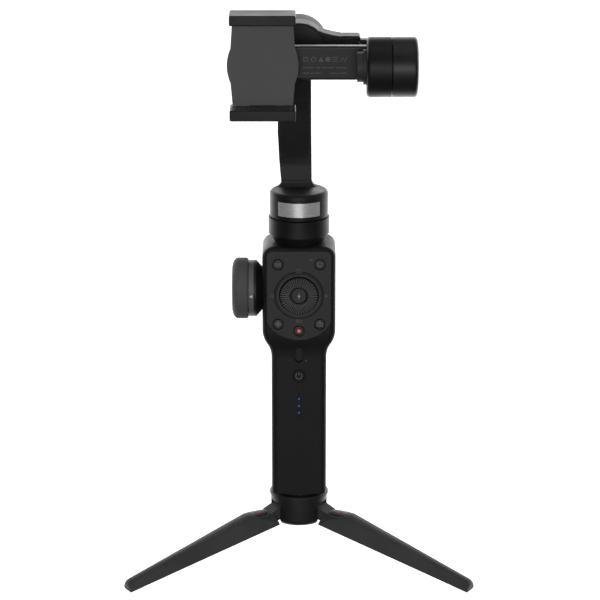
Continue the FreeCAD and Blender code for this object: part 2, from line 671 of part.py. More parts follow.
def dial_wheel():
    """The thumb dial: a rim with a hub that runs round the flash button."""
    rim = rod(DIAL_RADIUS, dial_centre, Y, DIAL_FRONT, panel_back - KEY_GAP)
    rim = rounded_at(rim, Y, DIAL_FRONT, 2 * KEY_EDGE)
    hub = rod(DIAL_HUB_RADIUS, dial_centre, Y, panel_back - KEY_GAP, PANEL_BOARD_FRONT - FREE)
    bore = rod(FLASH_RADIUS + FREE, dial_centre, Y, DIAL_FRONT, PANEL_BOARD_FRONT)
    return fused([rim, hub]).cut(bore)


def flash_button():
    front = DIAL_FRONT + KEY_GAP
    cap = rounded_at(rod(FLASH_RADIUS, dial_centre, Y, front, panel_back), Y, front, KEY_EDGE)
    stem = rod(FLASH_STEM_RADIUS, dial_centre, Y, panel_back, PANEL_BOARD_FRONT - BUTTON_TRAVEL - KEY_GAP)
    return fused([cap, stem])


def power_button():
    front = GRIP_FRONT + 0.1
    flange_back = inner_front + BUTTON_FLANGE_THICKNESS
    cap = rounded_at(rod(POWER_RADIUS, power_centre, Y, front, flange_back), Y, front, KEY_EDGE)
    flange = rod(POWER_RECESS_RADIUS, power_centre, Y, inner_front + KEY_GAP, flange_back)
    stem = rod(BUTTON_STEM_RADIUS, power_centre, Y, flange_back, MAIN_BOARD_FRONT - BUTTON_TRAVEL - 0.1)
    return fused([cap, flange, stem])


def slide_switch():
    """Stands at the top of its slot and slides down."""
    top = SWITCH_HEIGHT + SWITCH_SLOT[1] / 2 - SWITCH_GAP
    low = SWITCH_HEIGHT - SWITCH_SLOT[1] / 2 + SWITCH_TRAVEL + SWITCH_GAP
    base_back = inner_front + SWITCH_BASE[1]
    knob = slot(SWITCH_SLOT[0] - 3 * SWITCH_GAP, low, top, GRIP_FRONT + FREE, base_back)
    half = SWITCH_SLOT[0] / 2 + SWITCH_MARGIN
    base = box((-half, half), (inner_front + SWITCH_BASE[0], base_back), (low - 2, top + 2))
    return fused([knob, base])


panel_board = panel_form(0.8, PANEL_BOARD_FRONT, PANEL_BOARD_FRONT + BOARD_THICKNESS)
bezel = tube(BEZEL_RADIUS, DIAL_RADIUS + 0.25, dial_centre, Y, panel_front + 0.1, panel_back)
led_window = slot(LED_WIDTH, LED_SPAN[0], LED_SPAN[1], GRIP_FRONT + 0.05, inner_front)
save("control_panel", control_panel())
save("panel_board", panel_board)
save("dial_bezel", bezel)
save("dial_wheel", dial_wheel())
save("flash_button", flash_button())
for name, (x, z) in BUTTONS.items():
    save(name, push_button(x, z))
save("power_button", power_button())
save("slide_switch", slide_switch())
save("led_window", led_window)


def usb_port():
    mouth = HEAD_HALF_WIDTH - USB_SUNK
    back = HEAD_HALF_WIDTH - USB_DEPTH
    shell = usb_form((back, mouth), 0)
    inside = usb_form((back + 1, mouth + 1), -USB_WALL)
    thin, tall = USB_BLADE_HALF_SIZE
    blade = box((back + 0.5, mouth - 1), (usb_centre.y - thin, usb_centre.y + thin),
                (usb_centre.z - tall, usb_centre.z + tall))
    return fused([shell.cut(inside), blade])


def rear_trigger():
    """Hangs from its pin and presses inwards at its lower end."""
    y, z = TRIGGER_PIVOT
    low = TRIGGER_BOTTOM
    key = prism(from_side(-trigger_half), X * TRIGGER_WIDTH,
                [(y - 2, z + 2), (y + 4, z + 2.6), (y + 9, z - 5), (y + 10.3, z - 15, y + 8, low),
                 (y + 3, low), (y + 3, z - 8), (y - 2, z - 4)])
    key = key.makeFillet(TRIGGER_ROUND, [e for e in key.Edges if e.CenterOfMass.y > y + 7 and e.Length > 4])
    return key.cut(rod(TRIGGER_PIN_RADIUS + RUNNING, trigger_centre, X, -trigger_half, trigger_half))


def wheel_base():
    """The rim and cone between the index ring and the head's left side."""
    inner = -HEAD_HALF_WIDTH
    outer = index_end + WHEEL_BASE_RIM
    rim = rod(INDEX_RADIUS, wheel_centre, X, index_end, outer)
    flare = cone(INDEX_RADIUS, WHEEL_BASE_RADIUS, wheel_centre, X, outer, inner)
    return fused([rim, flare]).cut(rod(WHEEL_AXLE_RADIUS + RUNNING, wheel_centre, X, index_end, inner))


def wheel_core():
    """The disc that carries the tyre, and its axle into the head."""
    front = WHEEL_OUTER_FACE + WHEEL_DISC_SUNK
    disc = rod(WHEEL_FACE_RADIUS - SEAT, wheel_centre, X, front, WHEEL_INNER_FACE)
    disc = rounded_at(disc, X, front, 0.3)
    axle = rod(WHEEL_AXLE_RADIUS, wheel_centre, X, WHEEL_INNER_FACE, -HEAD_HALF_WIDTH + WHEEL_AXLE_REACH)
    return fused([disc, axle])


def tyre():
    """A rubber ring whose outer edge slopes in two steps to the face."""
    face = WHEEL_OUTER_FACE
    slope = [(WHEEL_FACE_RADIUS, face), (WHEEL_RADIUS - 2.3, face + WHEEL_SHOULDER * 0.4),
             (WHEEL_RADIUS - 0.6, face + WHEEL_SHOULDER), (WHEEL_RADIUS, face + WHEEL_SHOULDER + 1.2),
             (WHEEL_RADIUS, WHEEL_INNER_FACE - 1.0), (WHEEL_RADIUS - 1.0, WHEEL_INNER_FACE),
             (WHEEL_FACE_RADIUS, WHEEL_INNER_FACE)]
    corners = [vec(x, 0, WHEEL_HEIGHT + r) for r, x in slope]
    section = Part.Face(Part.makePolygon(corners + corners[:1]))
    return section.revolve(wheel_centre, X, 360)


index_end = WHEEL_INNER_FACE + WHEEL_GAP + INDEX_WIDTH
index_ring = tube(INDEX_RADIUS, WHEEL_AXLE_RADIUS + RUNNING, wheel_centre, X,
                  WHEEL_INNER_FACE + WHEEL_GAP, index_end)
save("usb_port", usb_port())
save("rear_trigger", rear_trigger())
save("trigger_pin", rod(TRIGGER_PIN_RADIUS, trigger_centre, X, -trigger_half - 3.0, trigger_half + 3.0))
save("handwheel_tyre", tyre())
save("handwheel_core", wheel_core())
save("handwheel_ring", index_ring)
save("handwheel_base", wheel_base())


# Motors: two halves each, with a stator in one half and the shaft in the other

def stator(outer, centre, axis, start, end):
    """A wound core with its poles round a bore for the shaft."""
    core = tube(outer, SHAFT_RADIUS + RUNNING, centre, axis, start, end)
    side = axis.cross(Z if abs(axis.z) < 0.5 else X)
    gaps = []
    for pole in range(POLES):
        gap = rod(POLE_GAP_RADIUS, centre + side * (outer - POLE_GAP_DEPTH), axis, start, end)
        gap.rotate(centre, axis, 360 / POLES * pole)
        gaps.append(gap)
    return core.cut(gaps)


pan_room = PAN_ROTOR_RADIUS - MOTOR_WALL
pan_coil = pan_room - COIL_GAP


def pan_base():
    neck = cone(PAN_NECK_RADIUS, PAN_BASE_RADIUS, ORIGIN, Z, HEAD_TOP, PAN_NECK_TOP)
    ring = rod(PAN_BASE_RADIUS, ORIGIN, Z, PAN_NECK_TOP, PAN_SEAM)
    ring = rounded_at(ring, Z, PAN_SEAM, SEAM_ROUND)
    return fused([neck, ring]).cut(rod(pan_room, ORIGIN, Z, PAN_NECK_TOP + MOTOR_WALL, PAN_SEAM))


def plate_sector(outer, inner):
    """A curved strip round the front of the pan motor."""
    half_angle = math.degrees(math.asin(PLATE_CHORD / 2 / PAN_ROTOR_RADIUS))
    strip = []
    for radius in (outer, inner):
        strip.append(Part.makeCylinder(radius, PLATE_SPAN[1] - PLATE_SPAN[0], Z * PLATE_SPAN[0], Z,
                                       2 * half_angle))
    sector = strip[0].cut(strip[1])
    sector.rotate(ORIGIN, Z, -90 - half_angle)
    return sector


def pan_rotor():
    bell = rod(PAN_ROTOR_RADIUS, ORIGIN, Z, PAN_SEAM + MOTOR_GAP, PAN_ROTOR_TOP)
    bell = rounded_at(bell, Z, PAN_ROTOR_TOP, PAN_ROTOR_ROUND)
    hollow = rod(pan_room, ORIGIN, Z, PAN_SEAM, PAN_ROTOR_TOP - MOTOR_END)
    shaft = rod(SHAFT_RADIUS, ORIGIN, Z, PAN_NECK_TOP + MOTOR_WALL + 0.5, PAN_ROTOR_TOP - MOTOR_END + 1)
    bell = bell.cut(hollow).cut(plate_sector(PAN_ROTOR_RADIUS + 1, PAN_ROTOR_RADIUS - PLATE_DEPTH))
    return fused([bell, shaft])


plate_outer = PAN_ROTOR_RADIUS - 0.05
save("pan_base", pan_base())
save("pan_stator", stator(pan_coil, ORIGIN, Z, PAN_NECK_TOP + MOTOR_WALL,
                           PAN_ROTOR_TOP - MOTOR_END - FREE))
save("pan_rotor", pan_rotor())
save("name_plate", plate_sector(plate_outer, PAN_ROTOR_RADIUS - PLATE_DEPTH))


# Vertical arm, from the pan motor up behind the roll motor

axes = vec(0, 0, AXES_HEIGHT)
roll_room = (ROLL_FRONT + MOTOR_END + 1, ROLL_BACK - MOTOR_END - 2)


def swing_point(radius, degrees):
    """(y, z) on a circle about the tilt axis, measured from straight down towards the back."""
    turn = math.radians(degrees)
    return radius * math.sin(turn), AXES_HEIGHT - radius * math.cos(turn)


def arm_strip(near, far, start, end, x):
    """A curved bar about the tilt axis, between two radii and two angles."""
    middle = (start + end) / 2
    outline = [swing_point(near, start), swing_point(near, middle) + swing_point(near, end),
               swing_point(far, end), swing_point(far, middle) + swing_point(far, start)]
    return prism(from_side(x[0]), X * (x[1] - x[0]), outline)


def arm_flare():
    """The arm's spreading foot, kept inside the flat top of the pan motor."""
    low = PAN_ROTOR_TOP
    high = low + ARM_FOOT_FLARE
    bend = ARM_FOOT_FLARE * (1 - math.sqrt(0.5))
    left, right = ARM_FOOT_WIDTH
    front, back = ARM_FOOT
    wide = [(left - ARM_FOOT_FLARE, low), (right + ARM_FOOT_FLARE, low),
            (right + bend, low + bend, right, high), (left, high),
            (left - bend, low + bend, left - ARM_FOOT_FLARE, low)]
    deep = [(back, low), (back, high), (front, high), (front - bend, low + bend, front - ARM_FOOT_FLARE, low)]
    top = rod(PAN_ROTOR_RADIUS - PAN_ROTOR_ROUND, ORIGIN, Z, low, high)
    sides = prism(from_front(0), Y * back, wide)
    return sides.common(prism(from_side(left * 2), X * (right - left) * 3, deep)).common(top)


def vertical_arm():
    near = ARM_SWING
    far = ARM_SWING + ARM_THICKNESS
    start, end = ARM_SWING_ANGLES
    middle = (start + end) / 2
    back_start = start + 8
    face = ROLL_SEAM + MOTOR_GAP
    side = [(ARM_FOOT[0], PAN_ROTOR_TOP), swing_point(near, start),
            swing_point(near, middle) + swing_point(near, end),
            (face, AXES_HEIGHT - ROLL_RADIUS), (face, AXES_HEIGHT), (face + ARM_THICKNESS, AXES_HEIGHT),
            (face + ARM_THICKNESS, AXES_HEIGHT - ROLL_RADIUS), swing_point(far, end),
            swing_point(far, middle) + swing_point(far, back_start), (ARM_FOOT[1], PAN_ROTOR_TOP)]
    rise = AXES_HEIGHT - PAN_ROTOR_TOP
    front = [(ARM_FOOT_WIDTH[0], PAN_ROTOR_TOP), (ARM_FOOT_WIDTH[1], PAN_ROTOR_TOP),
             (ARM_WIDTH[1], PAN_ROTOR_TOP + rise * 0.35), (ARM_WIDTH[1], AXES_HEIGHT + 1),
             (ARM_WIDTH[0], AXES_HEIGHT + 1), (ARM_WIDTH[0], PAN_ROTOR_TOP + rise * 0.35)]
    reach = 2 * ARM_SWING
    beam = prism(from_side(-reach), X * 2 * reach, side)
    bend = swing_point(near, start)
    bend_edges = [e for e in edges_along(beam, X)
                  if e.CenterOfMass.distanceToPoint(vec(0, bend[0], bend[1])) < 0.1]
    beam = beam.makeFillet(ARM_BEND_ROUND, bend_edges)
    beam = beam.common(prism(from_front(0), Y * 2 * reach, front))
    housing = rounded_at(rod(ROLL_RADIUS, axes, Y, face, ROLL_BACK), Y, ROLL_BACK, MOTOR_ROUND)
    arm = fused([beam, arm_flare(), housing])
    pocket = arm_strip(near - 1, near + COVER_THICKNESS, COVER_ANGLES[0] - 0.1, COVER_ANGLES[1] + 0.1,
                       (ARM_WIDTH[0] + COVER_MARGIN - SEAT, ARM_WIDTH[1] - COVER_MARGIN + SEAT))
    inside = rod(ROLL_RADIUS - MOTOR_WALL, axes, Y, face - 1, roll_room[1])
    return arm.cut([pocket, inside])


cover = arm_strip(ARM_SWING, ARM_SWING + COVER_THICKNESS, COVER_ANGLES[0], COVER_ANGLES[1],
                  (ARM_WIDTH[0] + COVER_MARGIN, ARM_WIDTH[1] - COVER_MARGIN))
save("vertical_arm", vertical_arm())
save("vertical_arm_cover", cover)


# Roll motor's front half with the sleeve, the sliding arm and its lock knob

def across(y):
    """Limits either side of the roll axis, in height."""
    return (AXES_HEIGHT - y, AXES_HEIGHT + y)


BAR_DEPTH = (SLEEVE_DEPTH[0] + SLEEVE_WALL, SLEEVE_DEPTH[1] - SLEEVE_WALL)
lock_centre = vec(LOCK_PLACE, 0, AXES_HEIGHT)


def roll_rotor():
    bell = rounded_at(rod(ROLL_RADIUS, axes, Y, ROLL_FRONT, ROLL_SEAM), Y, ROLL_FRONT, MOTOR_ROUND)
    root, neck, end = SLEEVE_FLARE
    low, high = across(SLEEVE_HALF_HEIGHT)
    root_low, root_high = across(SLEEVE_FLARE_HALF_HEIGHT)
    flare = prism(from_front(SLEEVE_DEPTH[0]), Y * (SLEEVE_DEPTH[1] - SLEEVE_DEPTH[0]),
                  [(root, root_high), (neck, high + SLEEVE_FLARE_BEND, end, high),
                   (end, low), (neck, low - SLEEVE_FLARE_BEND, root, root_low)])
    sleeve = bar((root + 2, SLEEVE_END), SLEEVE_DEPTH, across(SLEEVE_HALF_HEIGHT), 1.5, X)
    sleeve = sleeve.makeChamfer(SLEEVE_WALL / 2, edges_at(sleeve, X, SLEEVE_END))
    hollow = rod(ROLL_RADIUS - MOTOR_WALL, axes, Y, roll_room[0], ROLL_SEAM)
    channel = bar((BAR_START - 0.5, SLEEVE_END + 1), (BAR_DEPTH[0] - RUNNING, BAR_DEPTH[1] + RUNNING),
                  across(BAR_HALF_HEIGHT + RUNNING), BAR_ROUND, X)
    stem_hole = rod(LOCK_STEM_RADIUS + RUNNING, lock_centre, Y, SLEEVE_DEPTH[0] - 1, BAR_DEPTH[0])
    shaft = rod(SHAFT_RADIUS, axes, Y, roll_room[0] - 1, roll_room[1] - 0.5)
    body = fused([bell, flare, sleeve]).cut([hollow, channel, stem_hole])
    return fused([body, shaft])


def lock_knob():
    front = SLEEVE_DEPTH[0] - 0.1 - LOCK_THICKNESS
    knob = rounded_at(rod(LOCK_RADIUS, lock_centre, Y, front, SLEEVE_DEPTH[0] - 0.1), Y, front, 0.6)
    stem = rod(LOCK_STEM_RADIUS, lock_centre, Y, SLEEVE_DEPTH[0] - 0.1, BAR_DEPTH[0] - FREE)
    return fused([knob, stem])


def crossing_arm():
    """The bar in the sleeve, the leg that comes forward, and the tilt motor's outer half."""
    start = TILT_SEAM + MOTOR_GAP
    inner = bar((BAR_START, start + 4), BAR_DEPTH, across(BAR_HALF_HEIGHT), BAR_ROUND, X)
    low, high = across(FORWARD_HALF_HEIGHT)
    back_low, back_high = across(FORWARD_BACK_HALF_HEIGHT)
    elbow = prism(from_side(start), X * (TILT_OUTER_FACE - start),
                  [(FORWARD_START, low), (BAR_DEPTH[1], back_low), (BAR_DEPTH[1], back_high),
                   (FORWARD_START, high)])
    corner = [e for e in edges_along(elbow, Z) if e.CenterOfMass.y > BAR_DEPTH[1] - 0.1
              and e.CenterOfMass.x > TILT_OUTER_FACE - 0.1]
    elbow = elbow.makeFillet(ELBOW_ROUND, corner)
    housing = rod(TILT_RADIUS, axes, X, start, TILT_OUTER_FACE)
    housing = rounded_at(housing, X, TILT_OUTER_FACE, MOTOR_ROUND)
    hollow = rod(TILT_RADIUS - MOTOR_WALL, axes, X, start - 1, TILT_OUTER_FACE - MOTOR_END)
    return fused([inner, elbow, housing]).cut(hollow)


save("roll_stator", stator(ROLL_RADIUS - MOTOR_WALL - COIL_GAP, axes, Y,
                           roll_room[0] + FREE, roll_room[1]))
save("roll_rotor", roll_rotor())
save("arm_lock_knob", lock_knob())
save("crossing_arm", crossing_arm())


# Tilt motor's inner half and the phone clamp that it carries

def tilt_rotor():
    bell = rod(TILT_RADIUS, axes, X, TILT_INNER_FACE, TILT_SEAM)
    bell = rounded_at(bell, X, TILT_INNER_FACE, MOTOR_ROUND)
    shaft = rod(SHAFT_RADIUS, axes, X, TILT_INNER_FACE + 1, TILT_OUTER_FACE - MOTOR_END - 0.5)
    hollow = rod(TILT_RADIUS - MOTOR_WALL, axes, X, TILT_INNER_FACE + MOTOR_END, TILT_SEAM)
    return fused([bell.cut(hollow), shaft])


def tilt_boss():
    return fused([rod(radius, axes, X, start, end) for radius, start, end in BOSS_STEPS])


clamp_axis = vec(CLAMP_CENTRE, 0, AXES_HEIGHT)
clamp_middle = (PLATE_FRONT, PLATE_FRONT + PLATE_THICKNESS)


def wide(half):
    """Limits either side of the clamp's centre line."""
    return (CLAMP_CENTRE - half, CLAMP_CENTRE + half)


def clamp_bar():
    beam = bar((CLAMP_BAR_START, TILT_INNER_FACE), CLAMP_BAR_DEPTH, CLAMP_BAR_HEIGHT, 1.5, X)
    return beam.cut(rod(PIVOT_STUD_RADIUS + RUNNING, clamp_axis, Y, 0, 50))


def clamp_plate():
    """The face that a phone's back rests on, bulging at the level of the turning axis."""
    low = LOWER_JAW[1] + FREE
    end, neck, bulge = PLATE_HALF_WIDTHS
    high_neck = AXES_HEIGHT + PLATE_BULGE_REACH
    low_neck = AXES_HEIGHT - PLATE_BULGE_REACH
    centre = CLAMP_CENTRE
    outline = [(centre + end, TOP_JAW[0]), (centre + neck, high_neck),
               (centre + bulge, AXES_HEIGHT, centre + neck, low_neck), (centre + end, low),
               (centre - end, low), (centre - neck, low_neck),
               (centre - bulge, AXES_HEIGHT, centre - neck, high_neck), (centre - end, TOP_JAW[0])]
    return prism(from_front(clamp_middle[0]), Y * PLATE_THICKNESS, outline)


def clamp_housing():
    """Behind the plate: holds the lower jaw's tongue, and turns on its stud in the clamp bar."""
    block = bar(wide(HOUSING_HALF_WIDTH), (clamp_middle[1], HOUSING_BACK), HOUSING_HEIGHT, 2.0, Y)
    channel = box(wide(TONGUE_HALF_WIDTH + 0.1), (TONGUE_DEPTH[0] - 0.1, TONGUE_DEPTH[1] + 0.1),
                  (HOUSING_HEIGHT[0] - 1, HOUSING_HEIGHT[1] - 3))
    stud = rod(PIVOT_STUD_RADIUS, clamp_axis, Y, TONGUE_DEPTH[1] + 0.5, CLAMP_KNOB_DEPTH[1] - 1)
    return fused([block.cut(channel), stud])


def jaw(height, pad_side):
    """A jaw with a shallow seat for its rubber pad on the side that faces the phone."""
    block = bar(wide(JAW_HALF_WIDTH), JAW_DEPTH, height, JAW_ROUND, Y)
    block = block.makeFillet(JAW_ROUND * 0.8, [e for e in edges_at(block, Y, JAW_DEPTH[0])])
    return block.cut(grip_pad(height, pad_side, SEAT))


def grip_pad(height, pad_side, extra):
    """A rubber strip, flush with the side of its jaw that faces the phone."""
    half = JAW_HALF_WIDTH - GRIP_PAD_MARGIN + extra
    if pad_side > 0:
        level = (height[1] - GRIP_PAD_THICKNESS, height[1])
    else:
        level = (height[0], height[0] + GRIP_PAD_THICKNESS)
    return box(wide(half), (GRIP_PAD_DEPTH[0] - extra, GRIP_PAD_DEPTH[1] + extra), level)


def lower_jaw():
    tongue = box(wide(TONGUE_HALF_WIDTH), TONGUE_DEPTH, (LOWER_JAW[0] + 1, TONGUE_TOP))
    heel = box(wide(TONGUE_HALF_WIDTH), (JAW_DEPTH[1] - 1, TONGUE_DEPTH[0] + 0.1),
               (LOWER_JAW[0] + 1, LOWER_JAW[1]))
    return fused([jaw(LOWER_JAW, 1), tongue, heel])


def clamp_knob():
    knob = rod(CLAMP_KNOB_RADIUS, clamp_axis, Y, *CLAMP_KNOB_DEPTH)
    knob = rounded_at(knob, Y, CLAMP_KNOB_DEPTH[1], JAW_ROUND)
    return knob.cut(rod(PIVOT_STUD_RADIUS + RUNNING, clamp_axis, Y, *CLAMP_KNOB_DEPTH))


spring_centre = vec(CLAMP_CENTRE, (TONGUE_DEPTH[0] + TONGUE_DEPTH[1]) / 2, TONGUE_TOP + 6)
spring_radius = (TONGUE_DEPTH[1] - TONGUE_DEPTH[0]) / 2
save("tilt_stator", stator(TILT_RADIUS - MOTOR_WALL - COIL_GAP, axes, X,
                           TILT_INNER_FACE + MOTOR_END + FREE, TILT_OUTER_FACE - MOTOR_END))
save("tilt_rotor", tilt_rotor())
save("tilt_boss", tilt_boss())
save("clamp_bar", clamp_bar())
save("clamp_plate", clamp_plate())
save("clamp_housing", clamp_housing())
save("top_jaw", jaw(TOP_JAW, -1))
save("top_jaw_pad", grip_pad(TOP_JAW, -1, 0))
save("lower_jaw", lower_jaw())
save("lower_jaw_pad", grip_pad(LOWER_JAW, 1, 0))
save("clamp_spring", tube(spring_radius, 0.8, spring_centre, X, -6, 6))
save("clamp_knob", clamp_knob())
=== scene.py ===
import json
import math
import bpy
import bmesh
from mathutils import Matrix, Vector

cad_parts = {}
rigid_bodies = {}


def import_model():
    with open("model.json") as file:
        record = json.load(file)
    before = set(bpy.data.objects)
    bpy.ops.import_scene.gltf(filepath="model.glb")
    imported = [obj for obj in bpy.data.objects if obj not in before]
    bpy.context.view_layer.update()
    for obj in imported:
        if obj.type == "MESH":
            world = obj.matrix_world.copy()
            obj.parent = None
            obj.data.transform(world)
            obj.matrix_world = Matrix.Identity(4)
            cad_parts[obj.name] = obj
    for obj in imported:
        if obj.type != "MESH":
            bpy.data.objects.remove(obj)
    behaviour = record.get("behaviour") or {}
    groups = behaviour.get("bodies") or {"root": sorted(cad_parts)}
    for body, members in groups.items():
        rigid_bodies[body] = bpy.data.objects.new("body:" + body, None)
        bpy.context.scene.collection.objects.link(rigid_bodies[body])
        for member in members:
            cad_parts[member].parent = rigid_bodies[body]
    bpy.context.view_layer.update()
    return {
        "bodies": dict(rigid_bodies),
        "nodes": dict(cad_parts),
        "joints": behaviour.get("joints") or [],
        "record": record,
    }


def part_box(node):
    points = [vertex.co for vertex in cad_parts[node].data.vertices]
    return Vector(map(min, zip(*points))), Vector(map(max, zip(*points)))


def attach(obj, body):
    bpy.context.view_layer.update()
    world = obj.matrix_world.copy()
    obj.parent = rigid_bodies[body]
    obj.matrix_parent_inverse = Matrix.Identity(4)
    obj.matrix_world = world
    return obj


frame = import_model()
nodes = frame["nodes"]
scene = bpy.context.scene
mm = 0.001
print("stage: frame loaded,", len(nodes), "nodes")


# Where things are, read from the frame
def middle(node):
    low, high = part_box(node)
    return (Vector(low) + Vector(high)) / 2 / mm


def lowest(node):
    return Vector(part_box(node)[0]) / mm


def highest(node):
    return Vector(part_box(node)[1]) / mm


def linear(code):
    parts = [int(code[i:i + 2], 16) / 255 for i in (1, 3, 5)]
    return tuple(p / 12.92 if p <= 0.04045 else ((p + 0.055) / 1.055) ** 2.4 for p in parts) + (1.0,)


# Nodes and materials
def addNode(tree, kind, settings=None, inputs=None):
    node = tree.nodes.new(kind)
    for name, value in (settings or {}).items():
        setattr(node, name, value)
    for name, value in (inputs or {}).items():
        if isinstance(value, bpy.types.NodeSocket):
            tree.links.new(value, node.inputs[name])
        else:
            node.inputs[name].default_value = value
    return node


def startMaterial(name):
    material = bpy.data.materials.new(name)
    material.use_nodes = True
    tree = material.node_tree
    tree.nodes.clear()
    shader = addNode(tree, "ShaderNodeBsdfPrincipled")
    addNode(tree, "ShaderNodeOutputMaterial", inputs={"Surface": shader.outputs[0]})
    place = addNode(tree, "ShaderNodeTexCoord")
    # object coordinates in millimetres, so that a noise scale is one over a real size
    scaled = addNode(tree, "ShaderNodeMapping", inputs={"Vector": place.outputs["Object"],
                                                        "Scale": (1 / mm, 1 / mm, 1 / mm)})
    return material, tree, shader, scaled.outputs[0]


def noise(tree, where, size, detail=2.0, rough=0.5, stretch=None):
    if stretch:
        where = addNode(tree, "ShaderNodeMapping", inputs={"Vector": where, "Scale": stretch}).outputs[0]
    made = addNode(tree, "ShaderNodeTexNoise", inputs={"Vector": where, "Scale": 1 / size,
                                                       "Detail": detail, "Roughness": rough})
    return made.outputs["Fac"]


def spread(tree, value, low, high, fromLow=0.3, fromHigh=0.7):
    made = addNode(tree, "ShaderNodeMapRange", inputs={"Value": value, "From Min": fromLow,
                                                       "From Max": fromHigh, "To Min": low, "To Max": high})
    return made.outputs[0]


def blended(tree, factor, first, second):
    made = addNode(tree, "ShaderNodeMix", {"data_type": "RGBA"}, {0: factor, 6: first, 7: second})
    return made.outputs[2]


def relief(tree, height, depth, strength, edge):
    # a small bevel catches the light along moulded and machined edges
    rounded = addNode(tree, "ShaderNodeBevel", {"samples": 4}, {"Radius": edge * mm})
    bump = addNode(tree, "ShaderNodeBump", inputs={"Height": height, "Distance": depth * mm,
                                                   "Strength": strength, "Normal": rounded.outputs[0]})
    return bump.outputs[0]


def connect(tree, shader, links):
    for name, value in links.items():
        if isinstance(value, bpy.types.NodeSocket):
            tree.links.new(value, shader.inputs[name])
        else:
            shader.inputs[name].default_value = value


# Injection-moulded ABS with a spark-eroded mould: a fine matte grain, and a faint
# polish where hands rub it, which shows as slow changes of gloss.
def mouldedAbs(name, dark, light, grain=0.55, gloss=(0.42, 0.56), edge=0.25, specular=0.35, depth=0.05):
    material, tree, shader, where = startMaterial(name)
    # real spark-eroded grain is about 0.1 mm; this is 0.4 to 0.7 mm so that it shows
    fine = noise(tree, where, grain, 3.0, 0.6)
    slow = noise(tree, where, 26.0, 4.0, 0.55)
    mixed = addNode(tree, "ShaderNodeMath", {"operation": "MULTIPLY_ADD"},
                    {0: fine, 1: 0.35, 2: slow}).outputs[0]
    tint = blended(tree, spread(tree, mixed, 0.0, 1.0, 0.4, 0.95), linear(dark), linear(light))
    connect(tree, shader, {"Base Color": tint, "Roughness": spread(tree, slow, gloss[0], gloss[1]),
                           "Specular IOR Level": specular, "IOR": 1.5,
                           "Normal": relief(tree, fine, depth, 0.5, edge)})
    return material


# Cast silicone rubber: no shine, and a slightly mottled, dusty surface with small pits.
def castRubber(name, dark, light, edge=0.35):
    material, tree, shader, where = startMaterial(name)
    dust = noise(tree, where, 7.0, 5.0, 0.6)
    grit = noise(tree, where, 0.5, 2.0, 0.5)
    pits = addNode(tree, "ShaderNodeTexVoronoi",
                   inputs={"Vector": where, "Scale": 1 / 0.9}).outputs["Distance"]
    height = addNode(tree, "ShaderNodeMath", {"operation": "MULTIPLY_ADD"},
                     {0: pits, 1: 0.4, 2: grit}).outputs[0]
    tint = blended(tree, spread(tree, dust, 0.0, 1.0), linear(dark), linear(light))
    connect(tree, shader, {"Base Color": tint, "Roughness": spread(tree, grit, 0.68, 0.86),
                           "Specular IOR Level": 0.3, "IOR": 1.45, "Sheen Weight": 0.06,
                           "Normal": relief(tree, height, 0.06, 0.45, edge)})
    return material


# Aluminium, bead-blasted and anodised black: a dark metal whose tiny dents spread
# the highlights into a soft band.
def anodisedAluminium(name, dark, light, gloss=(0.42, 0.54), edge=0.3):
    material, tree, shader, where = startMaterial(name)
    # real blasting dents are about 0.1 mm wide; these are 0.6 mm so that they show
    beads = addNode(tree, "ShaderNodeTexVoronoi", {"feature": "SMOOTH_F1"},
                    {"Vector": where, "Scale": 1 / 0.6}).outputs["Distance"]
    dye = noise(tree, where, 18.0, 4.0, 0.6)
    tint = blended(tree, spread(tree, dye, 0.0, 1.0), linear(dark), linear(light))
    connect(tree, shader, {"Base Color": tint, "Metallic": 0.4, "Specular IOR Level": 0.28,
                           "Roughness": spread(tree, dye, gloss[0], gloss[1]),
                           "Normal": relief(tree, beads, 0.03, 0.35, edge)})
    return material


# Stainless sheet, brushed along its length: fine streaks that stretch each highlight.
def brushedSteel(name, dark, light, stretch=(0.12, 0.12, 6.0), gloss=(0.2, 0.36), edge=0.1):
    material, tree, shader, where = startMaterial(name)
    # real brush marks are 0.05 mm apart; these are 0.4 mm apart so that they show
    streaks = noise(tree, where, 0.4, 3.0, 0.7, stretch)
    cloud = noise(tree, where, 6.0)
    tint = blended(tree, spread(tree, streaks, 0.0, 1.0), linear(dark), linear(light))
    rough = addNode(tree, "ShaderNodeMath", {"operation": "MULTIPLY_ADD"},
                    {0: cloud, 1: 0.08, 2: spread(tree, streaks, gloss[0], gloss[1])}).outputs[0]
    connect(tree, shader, {"Base Color": tint, "Metallic": 0.6, "Roughness": rough,
                           "Normal": relief(tree, streaks, 0.02, 0.3, edge)})
    return material


# Brass turned on a lathe: warm rings round the handle's axis.
def turnedBrass(name):
    material, tree, shader, where = startMaterial(name)
    rings = addNode(tree, "ShaderNodeTexWave", {"wave_type": "RINGS", "rings_direction": "Z"},
                    {"Vector": where, "Scale": 1 / 0.8, "Distortion": 0.6, "Detail": 2.0}).outputs["Fac"]
    tint = blended(tree, rings, linear("#B08A3E"), linear("#D8B565"))
    connect(tree, shader, {"Base Color": tint, "Metallic": 1.0,
                           "Roughness": spread(tree, rings, 0.22, 0.34, 0.0, 1.0),
                           "Normal": relief(tree, rings, 0.02, 0.3, 0.1)})
    return material


# Pad-printed ink: matte and a little uneven where the pad lifted.
def paddedInk(name, dark, light):
    material, tree, shader, where = startMaterial(name)
    wear = noise(tree, where, 0.7, 4.0, 0.7)
    tint = blended(tree, spread(tree, wear, 0.0, 1.0), linear(dark), linear(light))
    connect(tree, shader, {"Base Color": tint, "Roughness": spread(tree, wear, 0.45, 0.7),
                           "Specular IOR Level": 0.3,
                           "Normal": relief(tree, wear, 0.01, 0.3, 0.02)})
    return material


